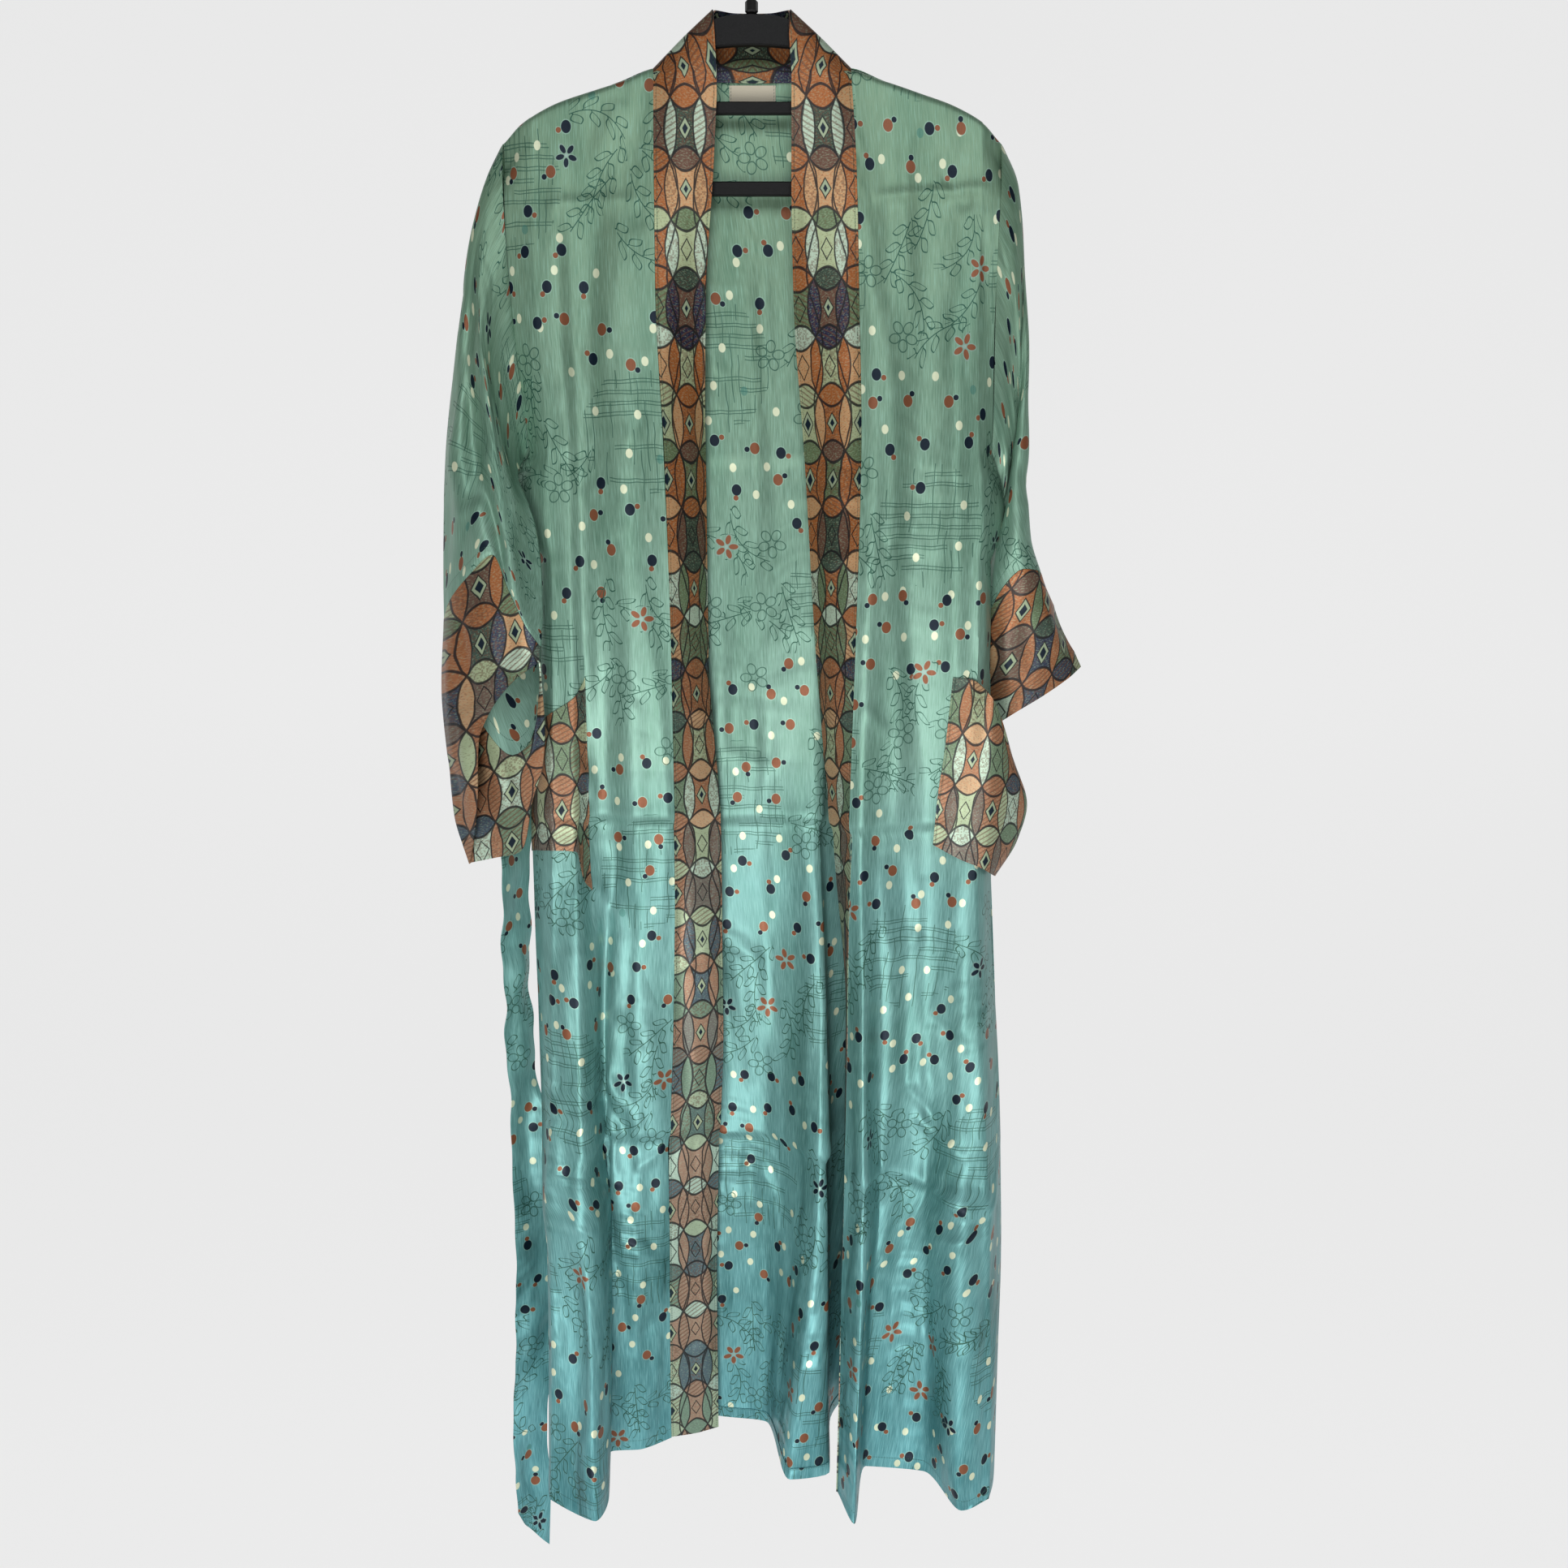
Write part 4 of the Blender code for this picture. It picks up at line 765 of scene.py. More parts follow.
def cuff_ring(lines, sleeve):
    """A cuff as a ring that starts just past the sleeve's end."""
    across, down = SLEEVE_POINTS, CUFF_ROWS
    hems = {name: np.array(line, float) * MM for name, line in lines.items()}
    end = sleeve[:, -1]
    feet = []
    for face, hem in ((-1, "near_hem"), (1, "far_hem")):
        feet.append(along(hems[hem], across) + (0, face * EDGE_FOLD, 0))
    rim_way = np.roll(end, -1, axis=0) - np.roll(end, 1, axis=0)
    rim_way /= np.linalg.norm(rim_way, axis=1, keepdims=True)
    out = np.concatenate([feet[0], feet[1][::-1]]) - end
    out -= rim_way * (out * rim_way).sum(axis=1, keepdims=True)
    out /= np.linalg.norm(out, axis=1, keepdims=True)
    top = end + out * CUFF_PITCH
    layers = []
    for face, foot, rim in ((-1, feet[0], top[:across]), (1, feet[1], top[across:][::-1])):
        first = along(hems["outer"], down)
        first[:, 1] += face * EDGE_FOLD
        first[0], first[-1] = rim[0], foot[0]
        last = np.linspace(rim[-1], foot[-1], down)
        layers.append(coons(rim, foot, first, last))
    return np.concatenate([layers[0], layers[1][::-1]])


def belt_grid():
    """The belt as three lines of points: its outer or upper edge, its middle and its other edge."""
    table = np.array(BELT, float)
    middle = table[:, :3] * MM
    reach = reaches(middle)
    side = np.where(middle[:, 0] < 0, -1.0, 1.0)
    tilt, turn = np.radians(table[:, 3]), np.radians(table[:, 4])
    width = np.stack([side * np.cos(tilt) * np.cos(turn), -np.cos(tilt) * np.sin(turn), np.sin(tilt)], axis=1)
    read = smooth(reach, np.concatenate([middle, width], axis=1), np.linspace(0, reach[-1], BELT_CELLS + 1))
    across = read[:, 3:] / np.linalg.norm(read[:, 3:], axis=1, keepdims=True) * BELT_WIDTH / 2
    outer, inner = read[:, :3] + across, read[:, :3] - across
    (first_out, first_in), (last_out, last_in) = np.array((BELT_TIP_RIGHT, BELT_TIP_LEFT), float) * MM
    outer = np.concatenate([[first_out], outer, [last_out]])
    inner = np.concatenate([[first_in], inner, [last_in]])
    return np.array([outer, (outer + inner) / 2, inner])


def fine(cells, times):
    """The count of cells between stations, each cut into so many more."""
    return tuple(count * times for count in cells)


def panel(table, cells, face, rows):
    """A body panel's points between its outermost folds, across then down. face is -1 in front, 1 behind."""
    stations = np.arange(len(table[0]) - 1)
    turns = np.concatenate([TOP_TURN_PARTS, np.ones(rows + 1)])
    grid = []
    for column in columns_of(table, spread(stations, cells)):
        x_top = read_column(table, column, np.array([NECK_SEAM_Z]))[0, 0]
        z_top = shoulder_height(x_top)[0]
        y_top = face * neck_depth(x_top)[0] if face > 0 else -FLAT_SEAM / 2
        z_turned = z_top - TOP_TURN
        z_arch = z_top - TOP_TURN * (1 - np.sqrt(1 - np.square(TOP_TURN_PARTS)))
        z = np.concatenate([z_arch, z_turned + (HEM_Z - z_turned) * np.linspace(0, 1, rows + 1)])
        xy = read_column(table, column, np.minimum(z, z_turned))
        grid.append(np.stack([xy[:, 0], y_top + (xy[:, 1] - y_top) * turns, z], axis=1))
    return np.array(grid)


def corner(last, side, face, cells):
    """The columns that carry a panel's outermost fold round to its side, which opens along the armhole."""
    stops = np.array(CORNER_STOPS)
    parts = smooth(np.arange(len(stops)), stops, np.linspace(0, len(stops) - 1, cells + 1)[1:])
    z_read = np.minimum(last[:, 2], TIP_Z - MM)
    x_side, y_side = side_x(side, z_read), face * armhole(z_read)
    columns = []
    for x_part, y_part in parts:
        x = last[:, 0] + (x_side - last[:, 0]) * x_part
        y = last[:, 1] + (y_side - last[:, 1]) * y_part
        drop = last[0, 2] - shoulder_height(x[0])[0]
        part = np.clip((last[:, 2] - HEM_Z) / (last[0, 2] - HEM_Z), 0, 1)
        columns.append(np.stack([x, y, last[:, 2] - drop * part], axis=1))
    return np.array(columns)


def front_grid(side):
    """A front panel from its band seam out to the side, with its columns in +X order."""
    table = FRONT_RIGHT if side < 0 else FRONT_LEFT
    points = panel(table, fine(FRONT_CELLS, FRONT_FINE), -1, FRONT_ROWS)
    cells = (len(CORNER_STOPS) - 1) * FRONT_FINE
    grid = np.concatenate([points, corner(points[-1], side, -1, cells)])
    return grid[::-1] if side < 0 else grid


def back_grid():
    points = panel(BACK, fine(BACK_CELLS, BACK_FINE), 1, BACK_ROWS)
    cells = (len(CORNER_STOPS) - 1) * BACK_FINE
    return np.concatenate([corner(points[0], -1, 1, cells)[::-1], points, corner(points[-1], 1, 1, cells)])


def toward_front(grid, ring=False):
    """Unit normals of a sheet, turned towards the front where the sheet mostly faces it."""
    way = normals(grid, ring)
    return way * (-1 if way[:, :, 1].mean() > 0 else 1)


def creased(grid, creases, amount, ring=False):
    """The sheet with its creases, each a soft ridge or trough that fades at both ends and bows a little."""
    x, z = grid[:, :, 0], grid[:, :, 2]
    lift = np.zeros(x.shape)
    for k, row in enumerate(creases):
        x0, z0, x1, z1, width, height = np.array(row, float) * MM
        run = math.hypot(x1 - x0, z1 - z0)
        way_x, way_z = (x1 - x0) / run, (z1 - z0) / run
        part = ((x - x0) * way_x + (z - z0) * way_z) / run
        arch = np.sin(np.clip(part, 0, 1) * math.pi)
        bow = CREASE_BOW[0] * math.sin(k * CREASE_BOW[1]) * run * arch
        off = (x - x0) * way_z - (z - z0) * way_x - bow
        fade = np.clip(arch, 0, 1) ** CREASE_FADE
        lift += height * fade * np.exp(-((off / width) ** 2))
    return grid + toward_front(grid, ring) * (lift * amount)[..., None]


def eased(grid, sides):
    """The body's sides, let out just under each underarm, where the sleeve hides the side seam."""
    x, z = grid[:, :, 0], grid[:, :, 2]
    bulge = np.sin(np.clip((UNDERARM_Z - z) / EASE_DEPTH, 0, 1) * math.pi) ** EASE_POWERS[0]
    moved = np.zeros(grid.shape)
    for side in sides:
        edge = x[:1] if side < 0 else x[-1:]
        near = np.clip(side * (x - edge) / EASE_SPAN + 1, 0, 1)
        moved[:, :, 0] += side * EASE_REACH[side] * bulge * near ** EASE_POWERS[1]
    return grid + moved


def stepped(grid, steps, amount):
    """The sheet with the lines it was stored folded on: it stands out above each line, steps back at it and
    comes forward slowly below it."""
    x, z = grid[:, :, 0], grid[:, :, 2]
    lift = np.zeros(x.shape)
    for x0, z0, x1, z1, bow, height in np.array(steps, float) * MM:
        part = np.clip((x - x0) / (x1 - x0), 0, 1)
        below = z0 + (z1 - z0) * part + bow * np.sin(part * math.tau) - z
        share = 1 / (1 + np.exp(np.clip(-below / KEPT_EDGE, -30, 30)))
        upper = (1 - share) * np.exp(np.minimum(below, 0) / KEPT_ABOVE) * KEPT_LIP
        lower = share * np.exp(-np.maximum(below, 0) / KEPT_BELOW)
        lift += height * np.sin(part * math.pi) ** KEPT_FADE * (upper - lower)
    return grid + toward_front(grid) * (lift * amount)[..., None]


def uneven(grid, amount, seed):
    """The sheet with long shallow unevenness, as limp cloth has between its creases."""
    x, z = grid[:, :, 0], grid[:, :, 2]
    lift = np.zeros(x.shape)
    by_seed, by_wave, shift, quicker = WAVE_TURNS
    for k in range(WAVES):
        turn = seed * by_seed + k * by_wave
        across, down = (middle + swing * math.sin(turn * rate)
                        for middle, swing, rate in (WAVE_ACROSS, WAVE_DOWN))
        wave = np.sin(x * across + z * down * math.sin(turn) + turn * shift)
        lift += wave * np.sin(z * (down + quicker) + turn) / WAVES
    return grid + toward_front(grid) * (lift * amount)[..., None]


def band_grid(side, front):
    """A front band, from the centre back, over the shoulder and down the front edge."""
    table = BAND_RIGHT if side < 0 else BAND_LEFT
    edge = front[-1] if side < 0 else front[0]
    toward = front[-2] if side < 0 else front[1]
    out = edge - toward
    out /= np.linalg.norm(out, axis=1, keepdims=True)
    seam_line = edge + out * SEAM_PITCH
    over = len(TOP_TURN_PARTS)
    free = along(np.array(NECK_FREE, float) * MM, NECK_ROWS)
    free[0, 0] = NECK_JOIN
    neck_x = np.linspace(NECK_JOIN, NECK_X - MM, NECK_ROWS)
    seam = np.stack([neck_x, neck_depth(neck_x), shoulder_height(neck_x) + NECK_PITCH], axis=1)
    free = np.concatenate([free, along(np.array(NECK_OVER, float) * MM, over)])
    free[:, 0] *= side
    seam[:, 0] *= side
    seam = np.concatenate([seam, seam_line[:over]])
    middle = (seam + free) / 2
    middle[:, 2] += MM
    low = seam_line[over:]
    heights = np.array([row[0] for row in table], float)[::-1]
    values = np.array([[x for pair in row[1:] for x in pair] for row in table], float)[::-1]
    free_x, free_y, middle_x, middle_y = smooth(heights, values, low[:, 2] / MM).T * MM
    lines = np.array([
        np.concatenate([seam, low]),
        np.concatenate([middle, np.stack([middle_x, middle_y, low[:, 2]], axis=1)]),
        np.concatenate([free, np.stack([free_x, free_y, low[:, 2]], axis=1)]),
    ])
    return smooth([0, 1, 2], lines, np.linspace(0, 2, BAND_COLUMNS))


def pocket_right_grid(front):
    """The right pocket, one layer in front of the panel and on the panel's own columns."""
    out = toward_front(front)
    first, last = POCKET_RIGHT_COLUMNS
    table = np.array(POCKET_RIGHT, float)
    lines = []
    for k in range(last * FRONT_FINE, first * FRONT_FINE - 1, -1):
        part = (last * FRONT_FINE - k) / ((last - first) * FRONT_FINE)
        mouth, foot = smooth(table[:, 0], table[:, 1:], [part])[0] * MM
        column = front[k] + out[k] * POCKET_PITCH
        z = np.linspace(mouth, foot, POCKET_ROWS)
        lines.append(column_at(column, z))
    return np.array(lines[::-1])


def pocket_left_grid():
    """The left pocket, a sheet that bags out past the side, open at its mouth."""
    stations = np.arange(len(POCKET_LEFT_MOUTH))
    places = spread(stations, (2 * POCKET_FINE,) * (len(stations) - 1))
    rises = smooth(stations, np.array([POCKET_LEFT_MOUTH, POCKET_LEFT_FOOT], float).T, places) * MM
    heights = np.linspace(POCKET_LEFT[0][0], POCKET_LEFT[-1][0], POCKET_ROWS) * MM
    down = np.linspace(0, 1, POCKET_ROWS)
    lines = []
    for column, (mouth, foot) in zip(columns_of(POCKET_LEFT, places), rises):
        xy = read_column(POCKET_LEFT, column, heights)
        lines.append(np.column_stack([xy, heights + mouth + (foot - mouth) * down]))
    return np.array(lines)


def loop_grid(x_middle, back):
    """A belt loop: flat on the back panel at its ends, and one layer off the belt between them."""
    upright = np.array([row[:2] for row in BELT if row[3] == 90], float) * MM
    belt_y = float(np.interp(x_middle, upright[:, 0], upright[:, 1]))
    lines = []
    across, over_belt, down = LOOP_POINTS
    for x in x_middle + np.linspace(-0.5, 0.5, across) * LOOP_WIDTH:
        ends = [(x, on_panel(back, x, z) + LOOP_PITCH, z) for z in LOOP_ENDS]
        over = [(x, belt_y + LAYER_PITCH, z) for z in np.linspace(*LOOP_SHOULDERS, over_belt)]
        lines.append(along([ends[0]] + over + [ends[1]], down))
    return np.array(lines)


def label_grid(back):
    """The neck label, flat against the inside of the back."""
    columns, rows = LABEL_POINTS
    heights = np.linspace(LABEL_TOP, LABEL_FOOT, rows)
    places = np.linspace(-0.5, 0.5, columns) * LABEL_WIDTH
    return np.array([[(x, on_panel(back, x, z) - LAYER_PITCH, z) for z in heights] for x in places])


def closed(ring):
    """A ring with its first column once more at its end."""
    return np.concatenate([ring, ring[:1]])


def arc_across(grid, zero):
    """Each point's length across the sheet from its numbered column."""
    steps = np.linalg.norm(np.diff(grid, axis=0), axis=2)
    reach = np.concatenate([np.zeros((1, grid.shape[1])), np.cumsum(steps, axis=0)])
    return reach - reach[zero]


def arc_down(grid):
    """Each point's length down the sheet, the same for a whole row."""
    steps = np.linalg.norm(np.diff(grid, axis=1), axis=2).mean(axis=0)
    reach = np.concatenate([[0], np.cumsum(steps)])
    return np.broadcast_to(reach, grid.shape[:2])


def loop_values(values):
    """A grid of values, ordered as the corners of the sheet's faces."""
    return np.stack([values[:-1, :-1], values[1:, :-1], values[1:, 1:], values[:-1, 1:]], axis=2)


def make_sheet(name, grid, thick, paint, cloth_uv, seam_uv, ring=False):
    """Adds one sheet of cloth with its two UV maps, both in metres, and gives it its thickness."""
    if ring:
        grid = closed(grid)
    columns, rows = grid.shape[:2]
    index = np.arange(columns * rows).reshape(columns, rows)
    faces = loop_values(index).reshape(-1, 4)
    mesh = bpy.data.meshes.new(name)
    mesh.from_pydata(grid.reshape(-1, 3), [], faces)
    for label, (across, down) in (("cloth", cloth_uv), ("seam", seam_uv)):
        layer = mesh.uv_layers.new(name=label)
        both = np.stack([loop_values(across), loop_values(down)], axis=-1)
        layer.data.foreach_set("uv", both.astype(np.float32).ravel())
    made = bpy.data.objects.new(name, mesh)
    bpy.context.scene.collection.objects.link(made)
    work = bmesh.new()
    work.from_mesh(mesh)
    if ring:
        bmesh.ops.remove_doubles(work, verts=work.verts, dist=WELD)
    bmesh.ops.recalc_face_normals(work, faces=work.faces)
    work.to_mesh(mesh)
    work.free()
    mesh.materials.append(paint)
    bpy.ops.object.select_all(action="DESELECT")
    bpy.context.view_layer.objects.active = made
    made.select_set(True)
    shell = made.modifiers.new("wall", "SOLIDIFY")
    shell.thickness = thick
    shell.offset = 0
    bpy.ops.object.modifier_apply(modifier=shell.name)
    bpy.ops.object.shade_smooth_by_angle(angle=math.radians(SMOOTH_ANGLE))
    return made


def edge_distances(across, down, hem):
    """Each point's distance from the nearer side edge and from the hem."""
    sides = np.minimum(across - across[:1], across[-1:] - across)
    return sides, hem - down


def operation(name, swapped=False):
    """A method that makes one step of shader maths from its own value and the one beside it."""
    def method(self, *others):
        return self.paint.maths(name, *(others + (self,) if swapped else (self,) + others))
    return method


class Value:
    """A shader value that adds, multiplies and compares like a number"""

    def __init__(self, paint, socket):
        self.paint = paint
        self.socket = socket

    __add__ = __radd__ = operation("ADD")
    __sub__ = operation("SUBTRACT")
    __rsub__ = operation("SUBTRACT", swapped=True)
    __mul__ = __rmul__ = operation("MULTIPLY")
    __truediv__ = operation("DIVIDE")
    __rtruediv__ = operation("DIVIDE", swapped=True)
    __pow__ = operation("POWER")
    __abs__ = operation("ABSOLUTE")
    __lt__ = operation("LESS_THAN")
    __gt__ = operation("GREATER_THAN")


class Paint:
    """A material and the nodes it is made from"""

    def __init__(self, name):
        self.material = bpy.data.materials.new(name)
        self.material.use_nodes = True
        self.nodes = self.material.node_tree.nodes
        self.links = self.material.node_tree.links
        self.nodes.clear()

    def node(self, kind, settings=None, sockets=None, output=0):
        """Any node: its settings first, then its sockets' values and links."""
        made = self.nodes.new(kind)
        for name, value in (settings or {}).items():
            setattr(made, name, value)
        for name, value in (sockets or {}).items():
            if isinstance(value, Value):
                self.links.new(value.socket, made.inputs[name])
            else:
                made.inputs[name].default_value = value
        return Value(self, made.outputs[output]) if made.outputs else None

    def maths(self, operation, *values, clamp=False):
        settings = {"operation": operation, "use_clamp": clamp}
        return self.node("ShaderNodeMath", settings, dict(enumerate(values)))

    def vectors(self, operation, *values, output=0):
        """A step of vector maths."""
        sockets = dict(enumerate(values)) if operation != "SCALE" else {0: values[0], 3: values[1]}
        return self.node("ShaderNodeVectorMath", {"operation": operation}, sockets, output)

    def clamped(self, value, more=0.0):
        """A value held between nought and one."""
        return self.maths("ADD", value, more, clamp=True)

    def either(self, first, second):
        """The greater of two shares, as where one set of lines lies over another."""
        return self.maths("MAXIMUM", first, second)

    def floor(self, value):
        return self.maths("FLOOR", value)

    def fract(self, value):
        return self.maths("FRACT", value)

    def place(self):
        """Where the point is in the frame."""
        return self.node("ShaderNodeTexCoord", output=3)

    def grain(self, place, scale, detail=2.0):
        """A fine grain through the whole of a plain material."""
        return self.node("ShaderNodeTexNoise", sockets={"Vector": place, "Scale": scale, "Detail": detail})

    def vector(self, x, y, z=0.0):
        return self.node("ShaderNodeCombineXYZ", sockets={0: x, 1: y, 2: z})

    def axis(self, vector, index):
        return self.node("ShaderNodeSeparateXYZ", sockets={0: vector}, output=index)

    def lengths(self, name):
        """The two lengths in metres of one UV map."""
        place = self.node("ShaderNodeUVMap", {"uv_map": name})
        return self.axis(place, 0), self.axis(place, 1)

    def hashes(self, x, y, seed):
        """Three even values from 0 to 1 for a cell."""
        cell = {0: self.vector(x, y, seed)}
        noise = self.node("ShaderNodeTexWhiteNoise", {"noise_dimensions": "3D"}, cell, 1)
        return [self.axis(noise, index) for index in range(3)]

    def noise(self, x, y, detail=2.0):
        sockets = {"Vector": self.vector(x, y), "Scale": 1.0, "Detail": detail}
        return self.node("ShaderNodeTexNoise", {"noise_dimensions": "2D"}, sockets)

    def inside(self, edge, distance, soft):
        """One where the distance is below the edge, nought past it, and a soft step between."""
        return self.clamped((edge - distance) / soft, 0.5)

    def over(self, share, under, upper):
        """The upper colour laid over the one under it."""
        colours = [colour if isinstance(colour, Value) else (*colour, 1) for colour in (under, upper)]
        sockets = {0: share, 6: colours[0], 7: colours[1]}
        return self.node("ShaderNodeMix", {"data_type": "RGBA"}, sockets, 2)

    def steps(self, value, stops):
        """A colour, or a grey value, for each range of a value: stops hold where it starts and what it is."""
        made = self.node("ShaderNodeValToRGB", sockets={0: value})
        ramp = made.socket.node.color_ramp
        ramp.interpolation = "CONSTANT"
        while len(ramp.elements) < len(stops):
            ramp.elements.new(0.5)
        for element, (start, colour) in zip(ramp.elements, stops):
            element.position = start
            element.color = (*colour, 1) if isinstance(colour, tuple) else (colour, colour, colour, 1)
        return made

    def finish(self, values, height=None, distance=1.0):
        """The material's surface, with a bump where a height is given."""
        if height is not None:
            sockets = {"Height": height, "Distance": distance, "Strength": 1.0}
            values["Normal"] = self.node("ShaderNodeBump", sockets=sockets)
        shader = self.node("ShaderNodeBsdfPrincipled", sockets=values)
        self.node("ShaderNodeOutputMaterial", sockets={"Surface": shader})
        return self.material


def srgb(red, green, blue):
    """A linear colour from its everyday values of 0 to 255."""
    shares = [value / 255 for value in (red, green, blue)]
    return tuple(part / 12.92 if part <= 0.04045 else ((part + 0.055) / 1.055) ** 2.4 for part in shares)


# Colours of the prints and the hanger, as linear values
NAVY = srgb(12, 28, 42)
RUST = srgb(126, 78, 54)
CREAM = srgb(212, 218, 188)
DEEP_TEAL = srgb(58, 118, 108)
LINE_GREEN = srgb(40, 82, 68)
PALE = srgb(160, 196, 180)
HALO = srgb(140, 164, 156)
# Painted shade and painted sheen: the body satin's ground as it looks in shade and in highlight, laid on by
# its clouds and streaks
GROUND_PAINTED_SHADE = srgb(74, 116, 96)
HEM_PAINTED_SHADE = srgb(46, 106, 112)
HEM_PAINTED_SHEEN = srgb(142, 200, 204)
GROUND_PAINTED_SHEEN = srgb(150, 196, 178)
BROWN = srgb(96, 66, 50)
NEAR_BLACK = srgb(26, 26, 28)
PLASTIC_BLACK = srgb(6, 6, 7)
STEEL = srgb(205, 203, 198)
OVAL_PALE = srgb(146, 160, 132)
OVAL_COOL = srgb(124, 160, 158)
TAPE = srgb(226, 218, 196)
OVAL_COLOURS = (
    (0.0, srgb(154, 90, 44)), (0.30, srgb(92, 112, 80)), (0.44, srgb(160, 172, 134)),
    (0.58, srgb(94, 66, 54)), (0.70, srgb(20, 26, 62)), (0.78, srgb(172, 192, 172)),
    (0.88, srgb(44, 62, 52)), (0.94, srgb(184, 140, 98)),
)


def lattice(paint, u, v, wide, tall, skew, jitter, seed):
    """A skewed lattice of cells: where a point lies from its cell's own middle, the cell's three values, and
    where the cell is on the cloth."""
    row = paint.floor(v / tall)
    placed = u / wide + row * skew
    column = paint.floor(placed)
    values = paint.hashes(column, row, seed)
    x = (placed - column - 0.5 + (values[0] - 0.5) * jitter) * wide
    y = (v / tall - row - 0.5 + (values[1] - 0.5) * jitter) * tall
    return x, y, values, ((column + 0.5 - row * skew) * wide, (row + 0.5) * tall)


def patch(paint, place, across, down, reach):
    """One inside the rounded patches that repeat over the cloth in staggered rows."""
    level = place[1] / PATCH_CELL[1] + down
    aside = place[0] / PATCH_CELL[0] + paint.floor(level) * 0.5 + across
    x = (paint.fract(aside) - 0.5) * PATCH_CELL[0]
    y = (paint.fract(level) - 0.5) * PATCH_CELL[1]
    return (x * x + y * y * PATCH_TALL) ** 0.5 < reach


def oval(x, y, tall):
    """A point's distance from the middle of an oval, measured across the oval."""
    return (x * x + y * y * tall) ** 0.5


def dots_over(paint, colour, u, v):
    """Pale dots and faint ones, then dark ovals and warm ones, each with a small one of the other colour."""
    x, y, (*_, kind), place = lattice(paint, u, v, *PALE_CELL)
    shown = (1 - patch(paint, place, *OPEN_PATCH)) * (kind < PALE_BELOW)
    share = paint.inside(PALE_SIZE, oval(x, y, PALE_TALL), DOT_SOFT) * shown
    share = share * (PALE_STRENGTH - (kind > CREAM_FROM) * CREAM_LESS)
    colour = paint.over(share, colour, paint.over(kind > CREAM_FROM, CREAM, DEEP_TEAL))
    x, y, (first, second, kind), place = lattice(paint, u, v, *DOT_CELL)
    shown = 1 - patch(paint, place, *OPEN_PATCH)
    shown = shown * (1 - patch(paint, place, *HATCH_PATCH) * (second > HATCH_CLEARS))
    turn = (first - 0.5) * PAIR_TURN + (second > 0.5) * math.pi
    aside = paint.maths("SINE", turn) * PAIR_PITCH - x
    above = paint.maths("COSINE", turn) * PAIR_PITCH - y
    reach = oval(x, y, DOT_TALL)
    beside = oval(aside, above, 1.0)
    rim = paint.either(paint.inside(DOT_SIZE + DOT_RIM, reach, DOT_SOFT),
                       paint.inside(PAIR_SIZE + PAIR_RIM, beside, DOT_SOFT))
    colour = paint.over(rim * shown * RIM_STRENGTH, colour, PALE)
    warm = kind > WARM_FROM
    colour = paint.over(paint.inside(DOT_SIZE, reach, DOT_SOFT) * shown, colour, paint.over(warm, NAVY, RUST))
    return paint.over(paint.inside(PAIR_SIZE, beside, DOT_SOFT) * shown, colour, paint.over(warm, RUST, NAVY))


def spray(paint, u, v, cell):
    """The lines of curved sprays, one a cell: a stem with outlined leaves on both sides in turn."""
    x, y, (_, second, kind), place = lattice(paint, u, v, *cell)
    turn = (kind - 0.5) * LEAF_TURN
    cosine, sine = paint.maths("COSINE", turn), paint.maths("SINE", turn)
    up = x * sine + y * cosine
    side = x * cosine - y * sine + up * up * ((second - 0.5) * LEAF_BEND)
    out = abs(side)
    step = (up - out * LEAF_RISE) / LEAF_PITCH + (side > 0) * 0.5
    row = paint.floor(step)
    across = abs(step - row - 0.5) * LEAF_PITCH * LEAF_TIGHT
    along = (out - LEAF_STALK) * LEAF_STRETCH / LEAF_LENGTH
    half = paint.maths("SINE", paint.clamped(along) * math.pi) * LEAF_HALF
    outline = paint.inside(LINE_HALF, abs(across - half), LINE_SOFT) * (along < 1.0)
    stem = paint.inside(LINE_HALF, out, LINE_SOFT) * (abs(up) < LEAF_STEM)
    shift, rows = LEAF_ROWS
    leaf = paint.either(outline * (abs(row + shift) < rows), stem)
    return leaf * patch(paint, place, *LEAF_PATCH)


def flowers_over(paint, colour, u, v):
    """Sprays, then five-petal flowers: small filled dark ones and warm ones, and larger outlined ones."""
    lines = paint.either(*(spray(paint, u, v, cell) for cell in LEAF_CELLS))
    x, y, (first, second, kind), place = lattice(paint, u, v, *FLOWER_CELL)
    scale = 1 + (kind > FLOWER_WARM) * FLOWER_GROWTH[0] + (kind > FLOWER_LINED) * FLOWER_GROWTH[1]
    reach = oval(x, y, 1.0) / scale
    angle = paint.maths("ARCTAN2", y, x) / PETAL_TURN + first * FLOWER_TURN
    fold = (paint.fract(angle) - 0.5) * PETAL_TURN
    out = (reach * paint.maths("COSINE", fold) - PETAL_OUT) / PETAL_LONG
    half = PETAL_HALF * (1 + (kind > FLOWER_LINED) * LINED_WIDER)
    petal = oval(out, reach * paint.maths("SINE", fold) / half, 1.0)
    shown = patch(paint, place, *OPEN_PATCH) * (second < FLOWER_BELOW)
    filled = shown * (kind < FLOWER_LINED)
    colour = paint.over(lines * (1 - (reach < PETAL_OUT + PETAL_LONG) * shown), colour, LINE_GREEN)
    edge, strength = PETAL_HALO
    colour = paint.over(paint.inside(edge, petal, PETAL_SOFT) * filled * strength, colour, HALO)
    colour = paint.over(paint.inside(PETAL_EDGE, petal, PETAL_SOFT) * filled, colour,
                        paint.over(kind > FLOWER_WARM, NAVY, RUST))
    half_line, edge, soft, strength = PETAL_LINE
    line = paint.inside(half_line, abs(petal - edge), soft) * shown * (kind > FLOWER_LINED)
    colour = paint.over(line * strength, colour, LINE_GREEN)
    return paint.over(paint.inside(PETAL_OUT * FLOWER_HEART, reach, DOT_SOFT) * filled, colour, HALO)


